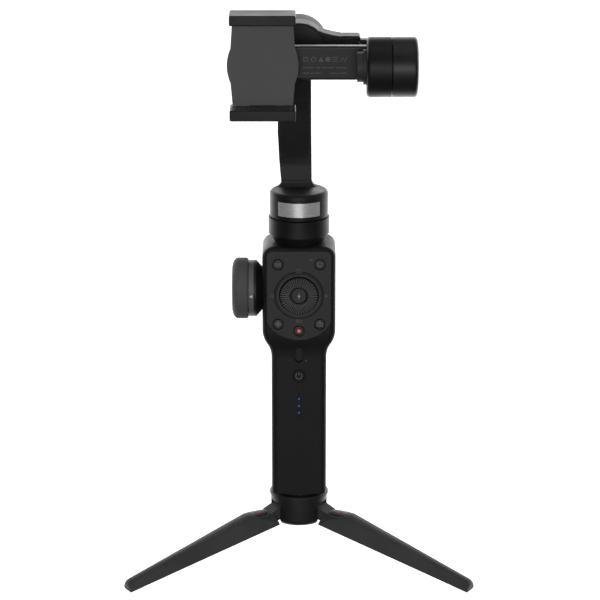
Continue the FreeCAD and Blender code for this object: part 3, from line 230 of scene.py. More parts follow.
# A lit diode behind tinted polycarbonate, with a faint haze in its colour.
def litDiode(name, dark, light, power):
    material, tree, shader, where = startMaterial(name)
    haze = noise(tree, where, 0.8, 2.0)
    tint = blended(tree, spread(tree, haze, 0.0, 1.0), linear(dark), linear(light))
    connect(tree, shader, {"Base Color": tint, "Emission Color": tint, "Emission Strength": power,
                           "Roughness": 0.3})
    return material


# Smoked polycarbonate, gloss moulded: near black with a clear highlight.
def smokedPolycarbonate(name):
    material, tree, shader, where = startMaterial(name)
    flow = noise(tree, where, 9.0, 3.0)
    tint = blended(tree, flow, linear("#151619"), linear("#202126"))
    connect(tree, shader, {"Base Color": tint, "Roughness": spread(tree, flow, 0.2, 0.32),
                           "Specular IOR Level": 0.4, "IOR": 1.58,
                           "Normal": relief(tree, flow, 0.02, 0.2, 0.2)})
    return material


# Glass-fibre board under black solder mask: copper tracks show as a faint raised maze.
def solderMask(name):
    material, tree, shader, where = startMaterial(name)
    tracks = addNode(tree, "ShaderNodeTexVoronoi", {"feature": "DISTANCE_TO_EDGE", "distance": "MANHATTAN"},
                     {"Vector": where, "Scale": 1 / 3.0}).outputs["Distance"]
    line = spread(tree, tracks, 1.0, 0.0, 0.04, 0.08)
    tint = blended(tree, line, linear("#0B0E0C"), linear("#1D2722"))
    connect(tree, shader, {"Base Color": tint, "Roughness": 0.35,
                           "Normal": relief(tree, line, 0.05, 0.4, 0.1)})
    return material


# Enamelled copper wound on steel teeth: close parallel turns, warm and glossy.
def enamelledCopper(name):
    material, tree, shader, where = startMaterial(name)
    turns = addNode(tree, "ShaderNodeTexWave", {"bands_direction": "DIAGONAL"},
                    {"Vector": where, "Scale": 1 / 1.2, "Distortion": 0.8}).outputs["Fac"]
    tint = blended(tree, turns, linear("#1C0F0A"), linear("#43241A"))
    connect(tree, shader, {"Base Color": tint, "Metallic": 1.0,
                           "Roughness": spread(tree, turns, 0.25, 0.4, 0.0, 1.0),
                           "Normal": relief(tree, turns, 0.15, 0.5, 0.1)})
    return material


# PVC sleeve shrunk over the cell: thin gloss plastic with slight puckers.
def shrunkPvc(name):
    material, tree, shader, where = startMaterial(name)
    pucker = noise(tree, where, 3.0, 3.0, 0.5, (1.0, 1.0, 0.2))
    tint = blended(tree, pucker, linear("#1D4E8C"), linear("#2A66AE"))
    connect(tree, shader, {"Base Color": tint, "Roughness": 0.28,
                           "Normal": relief(tree, pucker, 0.1, 0.3, 0.3)})
    return material


finishes = {
    "shell": mouldedAbs("black ABS handle moulding", "#151515", "#1D1D1E", 0.55, (0.46, 0.6), 0.25, 0.22),
    "panel": mouldedAbs("graphite ABS panel moulding", "#29292A", "#323233", 0.5, (0.46, 0.58), 0.3, 0.28),
    "key": mouldedAbs("graphite ABS key moulding", "#252526", "#303031", 0.4, (0.38, 0.5), 0.3),
    "dial": mouldedAbs("graphite ABS dial moulding", "#2E2E2F", "#39393A", 0.4, (0.36, 0.48), 0.25),
    # the dial's ribs are lighter than the wheel they stand on, though both are one moulding: painted
    # highlight
    "litRibTone": mouldedAbs("graphite ABS dial ribs lightened as painted highlight", "#454547", "#525254", 0.4, (0.36, 0.46), 0.2),
    # near-black; on the dial wheel it darkens the grooves between the ribs as painted shade
    "socket": mouldedAbs("near-black ABS moulding, painted shade in the dial grooves", "#0D0D0D", "#131313", 0.4, (0.5, 0.62), 0.2),
    "tripod": mouldedAbs("black glass-filled nylon tripod moulding", "#1B1B1C", "#262627",
                         0.7, (0.4, 0.54), 0.4),
    "leg": mouldedAbs("grey-black glass-filled nylon leg moulding", "#363638", "#434345",
                      0.7, (0.52, 0.64), 0.4, 0.25),
    "clamp": mouldedAbs("grey ABS clamp plate moulding", "#4A4A4B", "#525253", 0.6, (0.5, 0.62), 0.3),
    "jaw": mouldedAbs("black ABS jaw moulding", "#171718", "#1F1F20", 0.6, (0.42, 0.54), 0.45, 0.24),
    "index": mouldedAbs("grey ABS index ring moulding", "#5C5C5E", "#68686A", 0.5, (0.46, 0.56), 0.3, 0.28),
    "boss": mouldedAbs("grey ABS motor boss moulding", "#2E2E30", "#383839", 0.5, (0.5, 0.6), 0.5, 0.25),
    "rubber": castRubber("grey silicone rubber tyre", "#505051", "#58585A"),
    "foot": castRubber("black silicone rubber foot", "#1B1B1C", "#252526"),
    "motor": anodisedAluminium("black anodised aluminium motor shell", "#1B1B1C", "#252526"),
    # the tilt rotor's copy of the motor shell, made darker to damp the highlight it catches: painted shade
    "shadeDarkenedMotor": anodisedAluminium("anodised aluminium motor shell darkened as painted shade", "#151516", "#1D1D1E"),
    "arm": anodisedAluminium("black anodised aluminium arm", "#212122", "#2B2B2C", (0.36, 0.48), 0.5),
    # the arm and its cover are one black moulding; the arm is lighter and the cover darker, as painted
    # light and shade set against how the light falls on each
    "armLitTone": mouldedAbs("black ABS arm moulding lightened as painted light", "#242425", "#2F2F30", 0.55, (0.48, 0.6), 0.5, 0.15),
    "cover": mouldedAbs("black ABS arm cover moulding darker as painted shade", "#1E1E1F", "#272728",
                        0.55, (0.5, 0.62), 0.4, 0.15),
    "plate": brushedSteel("brushed stainless name plate", "#C4C4C6", "#F4F4F6"),
    "steel": brushedSteel("turned stainless fastener", "#8C8D90", "#B9BABD", (1.0, 1.0, 5.0), (0.25, 0.4)),
    "darkSteel": brushedSteel("blackened steel screw", "#26272A", "#3A3B3E", (1.0, 1.0, 5.0), (0.35, 0.5)),
    "brass": turnedBrass("turned brass insert"),
    "inkGrey": paddedInk("grey pad-printed ink", "#5C5C5E", "#727274"),
    "inkFaint": paddedInk("faint grey pad-printed ink", "#4A4A4C", "#5C5C5E"),
    "inkMid": paddedInk("mid grey pad-printed ink", "#565658", "#6A6A6C"),
    "inkPale": paddedInk("pale grey pad-printed ink", "#8E8E90", "#B4B4B6"),
    "inkWhite": paddedInk("white pad-printed ink", "#C9C9C9", "#EDEDED"),
    "inkRed": paddedInk("red pad-printed ink", "#5E2226", "#7C2B30"),
    # the record key's red dot is print, not a lamp: its glow is painted light
    "red": litDiode("red record dot with painted glow", "#E63E48", "#FF565F", 0.6),
    "blue": litDiode("blue battery light", "#0A4C94", "#0E62B4", 0.42),
    "unlit": smokedPolycarbonate("unlit battery light"),
    "smoke": smokedPolycarbonate("smoked polycarbonate window"),
    "board": solderMask("black solder mask board"),
    "winding": enamelledCopper("enamelled copper winding"),
    "cell": shrunkPvc("shrunk PVC battery sleeve"),
}

wornBy = {
    "shell": ["handle_front_shell", "handle_rear_shell", "handle_end_cap", "rear_trigger", "power_button"],
    "panel": ["control_panel"],
    "key": ["flash_button", "menu_button", "display_button", "mode_button", "photo_button",
            "record_button"],
    "dial": ["dial_bezel"],
    # the dial wheel is near-black so the grooves between its ribs show painted shade
    "socket": ["handwheel_base", "dial_wheel", "slide_switch"],
    "tripod": ["tripod_hub", "hub_ring"],
    "leg": ["leg_left", "leg_right", "leg_rear"],
    "clamp": ["clamp_plate"],
    "jaw": ["top_jaw", "lower_jaw", "clamp_housing", "clamp_knob", "arm_lock_knob"],
    "index": ["handwheel_ring"],
    "boss": ["tilt_boss"],
    "rubber": ["handwheel_tyre", "handwheel_core"],
    "foot": ["hub_pad", "foot_left", "foot_right", "foot_rear", "top_jaw_pad", "lower_jaw_pad"],
    "motor": ["pan_base", "pan_rotor", "roll_rotor"],
    # tilt rotor darkened as painted shade
    "shadeDarkenedMotor": ["tilt_rotor"],
    "arm": ["crossing_arm", "clamp_bar"],
    # arm and cover: painted light and shade in two tones of one moulding
    "armLitTone": ["vertical_arm"],
    "cover": ["vertical_arm_cover"],
    "plate": ["name_plate"],
    "smoke": ["led_window"],
    "steel": ["tripod_stud", "leg_pins", "trigger_pin", "clamp_spring", "usb_port"],
    "darkSteel": ["handle_screws"],
    "brass": ["thread_insert"],
    "winding": ["pan_stator", "roll_stator", "tilt_stator"],
    "cell": ["battery_cell"],
    "board": ["main_board", "panel_board"],
}


def dress(piece, finish):
    piece.data.materials.clear()
    piece.data.materials.append(finishes[finish])


for finish, names in wornBy.items():
    for name in names:
        dress(nodes[name], finish)
print("stage: materials made,", len(finishes))


# Mesh helpers: every outline is in millimetres
def newObject(name, mesh):
    made = bpy.data.objects.new(name, mesh)
    scene.collection.objects.link(made)
    return made


def finished(bm, name, finish, body):
    bmesh.ops.recalc_face_normals(bm, faces=bm.faces)
    mesh = bpy.data.meshes.new(name)
    bm.to_mesh(mesh)
    bm.free()
    made = newObject(name, mesh)
    dress(made, finish)
    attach(made, body)
    return made


def arc(x, z, radius, angles):
    return [(x + radius * math.cos(a), z + radius * math.sin(a)) for a in angles]


def disc(x, z, radius, count=28):
    return [arc(x, z, radius, [2 * math.pi * i / count for i in range(count)])]


# Four-sided outlines between two closed outlines, one inside the other
def framed(outer, inner):
    count = len(outer)
    return [[outer[i], outer[(i + 1) % count], inner[(i + 1) % count], inner[i]] for i in range(count)]


def ring(x, z, radius, width, start=0, end=360):
    count = max(8, int(abs(end - start) / 12))
    angles = [math.radians(start + (end - start) * i / count) for i in range(count + 1)]
    outer = arc(x, z, radius + width / 2, angles)
    inner = arc(x, z, radius - width / 2, angles)
    return [[outer[i], outer[i + 1], inner[i + 1], inner[i]] for i in range(count)]


def stroke(points, width):
    quads = []
    for (x0, z0), (x1, z1) in zip(points, points[1:]):
        length = math.hypot(x1 - x0, z1 - z0)
        sx = (z0 - z1) / length * width / 2
        sz = (x1 - x0) / length * width / 2
        quads.append([(x0 + sx, z0 + sz), (x0 - sx, z0 - sz), (x1 - sx, z1 - sz), (x1 + sx, z1 + sz)])
    return quads


def hollowBox(x, z, wide, high, width):
    outer = [(x - wide / 2, z - high / 2), (x + wide / 2, z - high / 2),
             (x + wide / 2, z + high / 2), (x - wide / 2, z + high / 2)]
    inner = [(x + (px - x) * (1 - 2 * width / wide), z + (pz - z) * (1 - 2 * width / high))
             for px, pz in outer]
    return framed(outer, inner)


# A thin print or inlay on a face that looks to the front, at height y
def inlay(name, shapes, y, thickness, finish, body):
    bm = bmesh.new()
    for outline in shapes:
        bm.faces.new([bm.verts.new((px * mm, y * mm, pz * mm)) for px, pz in outline])
    bmesh.ops.remove_doubles(bm, verts=bm.verts, dist=0.01 * mm)
    moved = bmesh.ops.extrude_face_region(bm, geom=bm.faces[:])["geom"]
    bmesh.ops.translate(bm, verts=[g for g in moved if isinstance(g, bmesh.types.BMVert)],
                        vec=(0, -thickness * mm, 0))
    return finished(bm, name, finish, body)


# Rings of points turned about an axis, from (radius, distance) points, joined by faces
turnedSides = 96


def turnedRings(bm, profile, centre, axis, closed):
    side = axis.orthogonal().normalized()
    up = axis.cross(side)
    angles = [2 * math.pi * i / turnedSides for i in range(turnedSides)]
    rings = []
    for radius, reach in profile:
        rings.append([bm.verts.new((centre + axis * reach
                                    + (side * math.cos(a) + up * math.sin(a)) * radius) * mm)
                      for a in angles])
    for low, high in zip(rings, rings[1:] + (rings[:1] if closed else [])):
        for i in range(turnedSides):
            after = (i + 1) % turnedSides
            bm.faces.new([low[i], low[after], high[after], high[i]])
    return rings


# A solid turned about an axis, closed at both ends
def turnedSolid(name, profile, centre, axis, finish, body):
    bm = bmesh.new()
    rings = turnedRings(bm, profile, centre, axis, False)
    bm.faces.new(rings[0])
    bm.faces.new(rings[-1])
    return finished(bm, name, finish, body)


# A ring turned from a closed outline
def hollowRing(name, profile, centre, axis, finish, body):
    bm = bmesh.new()
    turnedRings(bm, profile, centre, axis, True)
    return finished(bm, name, finish, body)


# Geometry Nodes: one shape repeated round an axis, or in a row
def repeatTree(name, inRing):
    tree = bpy.data.node_groups.new(name, "GeometryNodeTree")
    face = tree.interface
    face.new_socket("Geometry", in_out="INPUT", socket_type="NodeSocketGeometry")
    for title, kind in (("Shape", "NodeSocketObject"), ("Count", "NodeSocketInt"),
                        ("Size", "NodeSocketVector"), ("Turn", "NodeSocketVector"),
                        ("Place", "NodeSocketVector"), ("Finish", "NodeSocketMaterial")):
        face.new_socket(title, in_out="INPUT", socket_type=kind)
    face.new_socket("Geometry", in_out="OUTPUT", socket_type="NodeSocketGeometry")
    given = addNode(tree, "NodeGroupInput").outputs
    shape = addNode(tree, "GeometryNodeObjectInfo", inputs={"Object": given["Shape"]})
    if inRing:
        size = addNode(tree, "ShaderNodeSeparateXYZ", inputs={0: given["Size"]})
        points = addNode(tree, "GeometryNodeMeshCircle", inputs={"Vertices": given["Count"],
                                                                 "Radius": size.outputs[0]})
        index = addNode(tree, "GeometryNodeInputIndex")
        step = addNode(tree, "ShaderNodeMath", {"operation": "DIVIDE"}, {0: 2 * math.pi, 1: given["Count"]})
        angle = addNode(tree, "ShaderNodeMath", {"operation": "MULTIPLY"},
                        {0: index.outputs[0], 1: step.outputs[0]})
        turn = addNode(tree, "ShaderNodeCombineXYZ", inputs={"Z": angle.outputs[0]})
        spots = addNode(tree, "GeometryNodeInstanceOnPoints",
                        inputs={"Points": points.outputs[0], "Instance": shape.outputs["Geometry"],
                                "Rotation": turn.outputs[0]})
    else:
        points = addNode(tree, "GeometryNodeMeshLine",
                         inputs={"Count": given["Count"], "Offset": given["Size"]})
        spots = addNode(tree, "GeometryNodeInstanceOnPoints",
                        inputs={"Points": points.outputs[0], "Instance": shape.outputs["Geometry"]})
    real = addNode(tree, "GeometryNodeRealizeInstances", inputs={0: spots.outputs[0]})
    placed = addNode(tree, "GeometryNodeTransform", inputs={"Geometry": real.outputs[0],
                                                            "Translation": given["Place"],
                                                            "Rotation": given["Turn"]})
    painted = addNode(tree, "GeometryNodeSetMaterial", inputs={"Geometry": placed.outputs[0],
                                                               "Material": given["Finish"]})
    addNode(tree, "NodeGroupOutput", inputs={0: painted.outputs[0]})
    return tree


ringTree = repeatTree("repeat round an axis", True)
rowTree = repeatTree("repeat in a row", False)


# A bar with soft edges, centred on the origin, that the trees repeat
def softBar(long, wide, high, soft):
    bm = bmesh.new()
    bmesh.ops.create_cube(bm, size=1.0)
    bmesh.ops.scale(bm, vec=(long * mm, wide * mm, high * mm), verts=bm.verts)
    bmesh.ops.bevel(bm, geom=bm.edges[:], offset=soft * mm, segments=2, affect="EDGES", profile=0.6)
    mesh = bpy.data.meshes.new("bar")
    bm.to_mesh(mesh)
    bm.free()
    return newObject("bar", mesh)


def repeated(name, tree, bar, values, finish, body):
    host = newObject(name, bpy.data.meshes.new(name))
    modifier = host.modifiers.new("repeat", "NODES")
    modifier.node_group = tree
    values = dict(values, Shape=bar, Finish=finishes[finish])
    for item in tree.interface.items_tree:
        if item.in_out == "INPUT" and item.name in values:
            modifier[item.identifier] = values[item.name]
    seen = host.evaluated_get(bpy.context.evaluated_depsgraph_get())
    host.data = bpy.data.meshes.new_from_object(seen)
    host.modifiers.clear()
    bpy.data.objects.remove(bar)
    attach(host, body)
    return host


toFront = (math.pi / 2, 0.0, 0.0)      # turns a ring's axis from up to the front


# Thumb dial: radial ribs with a smooth ring inside them
dialRibs = {"count": 44, "inner": 6.5, "outer": 12.3, "wide": 0.68, "proud": 0.8, "deep": 0.3,
            "ringInner": 5.45, "ringOuter": 6.65}


def makeDialRibs():
    centre = middle("dial_wheel")
    front = lowest("dial_wheel").y
    bar = softBar(dialRibs["outer"] - dialRibs["inner"], dialRibs["wide"],
                  dialRibs["proud"] + dialRibs["deep"], 0.22)
    rise = (dialRibs["deep"] - dialRibs["proud"]) / 2
    # the ribs take a lighter finish than the wheel under them: painted highlight, with the grooves as
    # painted shade
    repeated("dial_ribs", ringTree, bar,
             {"Count": dialRibs["count"], "Size": ((dialRibs["inner"] + dialRibs["outer"]) / 2 * mm, 0, 0),
              "Turn": toFront, "Place": (centre.x * mm, (front + rise) * mm, centre.z * mm)},
             "litRibTone", "dial_body")
    low, high, proud = dialRibs["ringInner"], dialRibs["ringOuter"], dialRibs["proud"]
    rim = highest("dial_wheel").x - centre.x
    hollowRing("dial_ring", [(low, 0.4), (low, -0.05), (low + 0.2, -0.15), (high - 0.4, -proud + 0.1),
                             (high, -proud + 0.05), (high, 0.4)],
               Vector((centre.x, front, centre.z)), Vector((0, 1, 0)), "dial", "dial_body")
    hollowRing("dial_rim", [(dialRibs["outer"] - 0.1, 0.6), (dialRibs["outer"] - 0.1, -0.35),
                            (dialRibs["outer"] + 0.1, -0.45), (rim - 0.25, -0.1), (rim, 0.5), (rim, 1.2)],
               Vector((centre.x, front, centre.z)), Vector((0, 1, 0)), "shell", "dial_body")


# Knobs: ribs round the edge for grip
knobs = {
    "clamp_knob": {"count": 28, "wide": 0.9, "proud": 0.45, "deep": 0, "body": "clamp_knob_body"},
    "arm_lock_knob": {"count": 24, "wide": 0.9, "proud": 0.3, "deep": 3.0, "body": "arm_lock_body"},
}
knobMargin = 0.8      # plain rim left at each end of a knob's ribs


def makeKnobRibs():
    for node, knob in knobs.items():
        low, high, centre = lowest(node), highest(node), middle(node)
        radius = (high.x - low.x) / 2
        deep = knob["deep"] or high.y - low.y
        bar = softBar(2 * knob["proud"], knob["wide"], deep - 2 * knobMargin, 0.2)
        repeated(node + "_ribs", ringTree, bar,
                 {"Count": knob["count"], "Size": (radius * mm, 0, 0), "Turn": toFront,
                  "Place": (centre.x * mm, (low.y + deep / 2 + 0.1) * mm, centre.z * mm)},
                 "jaw", knob["body"])


# Jaw pads: ribs across the rubber that the phone's edges press on
padRibs = {"count": 13, "pitch": 2.9, "wide": 1.3, "proud": 0.25}


def makePadRibs():
    for node, body, side in (("lower_jaw_pad", "jaw_body", 1), ("top_jaw_pad", "clamp_body", -1)):
        low, high, centre = lowest(node), highest(node), middle(node)
        face = high.z if side > 0 else low.z
        bar = softBar(padRibs["wide"], high.y - low.y - 1.0, 2 * padRibs["proud"], 0.18)
        start = centre.x - padRibs["pitch"] * (padRibs["count"] - 1) / 2
        repeated(node + "_ribs", rowTree, bar,
                 {"Count": padRibs["count"], "Size": (padRibs["pitch"] * mm, 0, 0), "Turn": (0, 0, 0),
                  "Place": (start * mm, centre.y * mm, face * mm)},
                 "foot", body)


# Slide switch and trigger: small grip bars
gripBars = {
    "switch": {"form": (3.4, 0.5, 0.5, 0.12), "count": 4, "pitch": 1.0, "below": 1.5},
    "trigger": {"form": (10.0, 0.9, 0.8, 0.25), "count": 5, "pitch": 2.4, "below": 22.0, "sunk": 0.1},
}


def makeGripBars():
    def row(name, bars, y, z, finish, body):
        repeated(name, rowTree, softBar(*bars["form"]),
                 {"Count": bars["count"], "Size": (0, 0, bars["pitch"] * mm), "Turn": (0, 0, 0),
                  "Place": (0, y * mm, (z - bars["below"]) * mm)},
                 finish, body)

    row("switch_bars", gripBars["switch"], lowest("slide_switch").y, middle("slide_switch").z,
        "socket", "slide_switch_body")
    back = highest("rear_trigger")
    row("trigger_bars", gripBars["trigger"], back.y - gripBars["trigger"]["sunk"], back.z,
        "shell", "trigger_body")


makeDialRibs()
makeKnobRibs()
makePadRibs()
makeGripBars()
print("stage: ribs and grips made")


# Printed marks on the keys
# lens is the radius of the record key's red dot, which glows only as painted light
keyMarks = {"line": 0.42, "frame": 0.4, "print": 0.06, "sunk": 0.03, "lens": 1.1, "dotProud": 0.25}


def makeKeyMarks():
    line, frame = keyMarks["line"], keyMarks["frame"]

    def mark(kind, shapes, finish="inkGrey", thick=keyMarks["print"]):
        node = kind + "_button"
        centre = middle(node)
        placed = [[(x + centre.x, z + centre.z) for x, z in outline] for outline in shapes]
        inlay(kind + "_mark", placed, lowest(node).y + keyMarks["sunk"], thick + keyMarks["sunk"],
              finish, node + "_body")

    bars = []
    for z in (0.9, 0, -0.9):
        bars += stroke([(-1.9, z), (1.9, z)], line)
    mark("menu", bars)
    mark("display", hollowBox(0, 0.25, 3.8, 2.2, frame) + stroke([(-0.9, -1.45), (0.9, -1.45)], frame))
    corners = [[(-reach, 0), (0, -reach), (reach, 0), (0, reach)] for reach in (2.1, 1.3)]
    mark("mode", framed(*corners) + disc(0, 0, 0.75, 16))
    mark("photo", hollowBox(0, -0.2, 4.0, 2.6, 0.45)
         + [[(-0.9, 1.16), (0.9, 1.16), (0.6, 1.75), (-0.6, 1.75)]] + ring(0, -0.2, 0.62, 0.34))
    # the red dot glows as painted light
    mark("record", disc(0, 0, keyMarks["lens"]), "red", keyMarks["dotProud"])
    mark("power", ring(0, 0, 2.1, 0.5, 122, 418) + stroke([(0, 0.5), (0, 2.6)], 0.5), "inkMid")
    mark("flash", [[(0.55, 2.1), (-1.15, -0.3), (-0.1, -0.3)], [(-0.55, -2.1), (1.15, 0.3), (0.1, 0.3)]],
         "inkPale")


# Small printed symbols round the dial, one for what each push of the dial does
panelPrint = 0.06
gripPrint = 0.07


def makePanelMarks():
    y = lowest("control_panel").y + 0.02
    dial = middle("dial_bezel")
    symbols = {
        "dial_top": hollowBox(0, 17.0, 4.0, 2.6, 0.32) + disc(0, 17.0, 0.5, 12),
        "dial_bottom": hollowBox(-0.4, -17.4, 3.0, 2.4, 0.32)
        + [[(1.4, -17.4), (2.3, -16.5), (2.3, -18.3)]] + disc(-0.4, -17.4, 0.45, 12),
        "dial_left": ring(-17.6, 0.0, 1.1, 0.34) + stroke([(-16.8, -0.8), (-15.9, -1.7)], 0.34),
        "dial_right": [[(16.7, -1.0), (18.7, -1.0), (18.7, 1.0)]] + stroke([(16.5, 0.0), (17.7, 1.2)], 0.3),
        "near_menu": ring(-8.6, 24.4, 0.9, 0.3, -20, 120) + stroke([(-7.7, 24.0), (-7.3, 23.4)], 0.3),
        "near_display": [[(x, 23.7), (x, 25.1), (x - 1.1, 24.4)] for x in (8.9, 7.7)],
    }
    for name, shapes in symbols.items():
        placed = [[(x, z + dial.z) for x, z in outline] for outline in shapes]
        inlay(name + "_mark", placed, y, panelPrint, "inkFaint", "base")
    face = lowest("led_window").y - 0.05 + 0.02
    switch = middle("slide_switch")
    inlay("switch_up_mark", hollowBox(5.0, switch.z + 1.0, 1.5, 1.0, 0.25), face, gripPrint,
          "inkGrey", "base")
    inlay("switch_down_mark", stroke([(4.4, switch.z - 5.4), (5.3, switch.z - 6.3)], 0.35), face,
          gripPrint, "inkGrey", "base")


# A dark floor in the switch's slot, so that the board behind it doesn't show
switchWell = {"radius": 2.75, "below": 6.9, "above": 3.3, "inset": 0.9, "thick": 0.3, "steps": 12}


def makeSwitchWell():
    radius, steps, centre = switchWell["radius"], switchWell["steps"], middle("slide_switch")
    bottom = centre.z - switchWell["below"] + radius
    top = centre.z + switchWell["above"] - radius
    outline = arc(0, bottom, radius, [math.pi * (1 + i / steps) for i in range(steps + 1)])
    outline += arc(0, top, radius, [math.pi * i / steps for i in range(steps + 1)])
    inlay("switch_well", [outline], highest("slide_switch").y - switchWell["inset"], switchWell["thick"],
          "socket", "base")


# Battery lights: four diodes behind the smoked window, the top one unlit
lights = {"first": 122.5, "pitch": 4.9, "radius": 0.7, "lit": (False, True, True, True)}


def makeLights():
    y = lowest("led_window").y
    for i, lit in enumerate(lights["lit"]):
        z = lights["first"] - i * lights["pitch"]
        inlay("battery_light_%d" % (i + 1), disc(0, z, lights["radius"], 20), y + 0.02, 0.06,
              "blue" if lit else "unlit", "base")


# White pointer on the hand wheel's fixed ring
pointer = {"lower": 0.4, "tip": 0.5, "back": 2.6, "half": 1.15, "sunk": 0.05, "thick": 0.08}


def makePointer():
    low = lowest("handwheel_ring")
    z = middle("handwheel_ring").z - pointer["lower"]
    tip, back = low.x + pointer["tip"], low.x + pointer["back"]
    inlay("wheel_pointer", [[(tip, z), (back, z - pointer["half"]), (back, z + pointer["half"])]],
          low.y + pointer["sunk"], pointer["thick"], "inkWhite", "base")


# Neutral marks where the clamp bar carries its printed notices: rows of signs and dashes,
# each measured down from the bar's top
barMarks = {"signs": 8.6, "line": 0.5, "dash": 0.55, "signPrint": 0.06, "dashPrint": 0.05,
            "dashes": {14.2: ((2.6, 9.6), (11.0, 14.0), (15.0, 23.0), (24.2, 31.6)),
                       17.8: ((2.6, 6.4), (7.4, 14.6), (20.0, 25.2), (26.2, 31.2))}}


def makeBarMarks():
    y = lowest("clamp_bar").y + 0.02
    top = highest("clamp_bar").z
    row, line = top - barMarks["signs"], barMarks["line"]
    signs = hollowBox(4.4, row, 3.0, 3.0, line) + ring(9.4, row, 1.5, line)
    signs += [[(12.6, row - 1.6), (16.2, row - 1.6), (14.4, row + 1.7)]] + disc(19.0, row, 1.7, 24)
    for step in (-1.3, 0.0, 1.3):
        signs += stroke([(21.8, row + step), (25.4, row + step)], line)
    signs += stroke([(27.2, row - 1.6), (28.6, row + 1.6), (30.0, row - 1.6), (31.4, row + 1.6)], line)
    inlay("bar_symbols", signs, y, barMarks["signPrint"], "inkFaint", "tilt_head")
    dashes = []
    for down, runs in barMarks["dashes"].items():
        for start, end in runs:
            dashes += stroke([(start, top - down), (end, top - down)], barMarks["dash"])
    inlay("bar_lines", dashes, y, barMarks["dashPrint"], "inkFaint", "tilt_head")


makeKeyMarks()
makePanelMarks()
makeSwitchWell()
makeLights()
makePointer()
makeBarMarks()
print("stage: printed marks and lights made")


# Motor ends: turned caps with a groove, seen from the side and the back
endCaps = {"radius": 15.6, "rim": 2.2, "proud": 0.35, "groove": 0.7, "soft": 0.3}


def makeEndCaps():
    radius, proud, groove, soft = (endCaps[k] for k in ("radius", "proud", "groove", "soft"))
    rim = radius - endCaps["rim"]
    profile = [(radius, -0.4), (radius, proud - soft), (radius - soft, proud), (rim, proud),
               (rim - soft, proud - 0.3), (rim - groove, proud - 0.3), (rim - groove - soft, proud),
               (2.6, proud), (2.3, proud - 0.5), (0.6, proud - 0.5)]
    for name, node, body, axis in (("tilt_motor_cap", "crossing_arm", "side_arm", Vector((1, 0, 0))),
                                   ("roll_motor_cap", "vertical_arm", "pan_arm", Vector((0, 1, 0)))):
        centre = middle("tilt_boss")
        centre.x, centre.y = (highest(node).x, 0) if axis.x else (0, highest(node).y)
        turnedSolid(name, profile, centre, axis, "motor", body)


# Leg badges: a thin framed plate on the sloping root of each leg, with a plain red bar.
# The angles are turned about the leg, and the layers stand one in another.
badge = {"start": 13.4, "end": 25.6, "halfAngle": 23.0, "cornerShare": 0.22, "endShare": 0.7,
         "degreesPerMm": 3.4, "rows": 10, "columns": 16}
badgeLayers = {
    "rim": {"inset": 0.0, "low": -0.4, "high": 0.22, "wide": 1.0, "finish": "index"},
    "plate": {"inset": 0.45, "low": 0.0, "high": 0.3, "wide": 1.0, "finish": "socket"},
    "bar": {"inset": 4.2, "low": 0.1, "high": 0.36, "wide": 1.3, "finish": "inkRed"},
}
# the legs as they are in the frame: distances along a leg are from its pin
legForm = {"pinPlace": 12.0, "pinHeight": 36.4, "slope": 12.7, "start": 11.0, "widest": 27.4,
           "startRadius": 14.0, "widestRadius": 17.8}
legDirections = {"left": 210.0, "right": -30.0, "rear": 90.0}


def legPoint(along, degrees, lift):
    share = (along - legForm["start"]) / (legForm["widest"] - legForm["start"])
    radius = legForm["startRadius"] + share * (legForm["widestRadius"] - legForm["startRadius"]) + lift
    angle = math.radians(degrees)
    return Vector((radius * math.cos(angle), radius * math.sin(angle), legForm["pinHeight"] - along))


def badgeLayer(name, layer, toLeg, body):
    rows, columns, inset = badge["rows"], badge["columns"], layer["inset"]
    start, end = badge["start"] + inset, badge["end"] - inset
    reach = badge["halfAngle"] - inset * badge["degreesPerMm"]
    bm = bmesh.new()
    grids = []
    for lift in (layer["low"], layer["high"]):
        grid = []
        for i in range(rows + 1):
            share = i / rows
            # the ends narrow towards the corners, which gives the plate its eight sides
            near = min(share, 1 - share) / badge["cornerShare"]
            half = reach * min(1.0, badge["endShare"] + (1 - badge["endShare"]) * near) * layer["wide"]
            grid.append([bm.verts.new(toLeg @ legPoint(start + share * (end - start),
                                                       half * (2 * j / columns - 1), lift) * mm)
                         for j in range(columns + 1)])
        grids.append(grid)
    bottom, top = grids
    for i in range(rows):
        for j in range(columns):
            for grid in grids:
                bm.faces.new([grid[i][j], grid[i + 1][j], grid[i + 1][j + 1], grid[i][j + 1]])
    for i in range(rows):
        for j in (0, columns):
            bm.faces.new([bottom[i][j], bottom[i + 1][j], top[i + 1][j], top[i][j]])
    for j in range(columns):
        for i in (0, rows):
            bm.faces.new([bottom[i][j], bottom[i][j + 1], top[i][j + 1], top[i][j]])
    finished(bm, name, layer["finish"], body)


def makeBadges():
    pin = Vector((legForm["pinPlace"], 0, legForm["pinHeight"]))
    swing = (Matrix.Translation(pin) @ Matrix.Rotation(math.radians(legForm["slope"] - 90), 4, "Y")
             @ Matrix.Translation(-pin))
    for side, degrees in legDirections.items():
        toLeg = Matrix.Rotation(math.radians(degrees), 4, "Z") @ swing
        for kind, layer in badgeLayers.items():
            badgeLayer("badge_%s_%s" % (kind, side), layer, toLeg, "leg_%s_body" % side)


makeEndCaps()
makeBadges()
print("stage: caps and badges made")


# Floor, lights and camera
studio = {"floorHalf": 8.0, "floorGlow": 1.0, "behind": 3.3, "front": 0.06}
lamps = {
    "key": {"place": (-0.1, -2.35, 0.58), "target": (0, 0, 0.22), "size": (1.5, 0.8), "power": 27.0},
    "top": {"place": (0.0, -0.1, 1.7), "target": (0, 0, 0.2), "size": (1.4, 1.4), "power": 5.0},
    "side": {"place": (1.4, -0.5, 0.8), "target": (0, 0, 0.25), "size": (0.7, 1.0), "power": 1.5},
    # low and small: the brushed plate mirrors it
    "card": {"place": (0.0, -0.6, 0.075), "target": (0, 0, 0.248), "size": (0.34, 0.07), "power": 0.1},
}
view = {"place": (0.0007, -1.747, 0.718), "down": 17.07, "lens": 164.4}


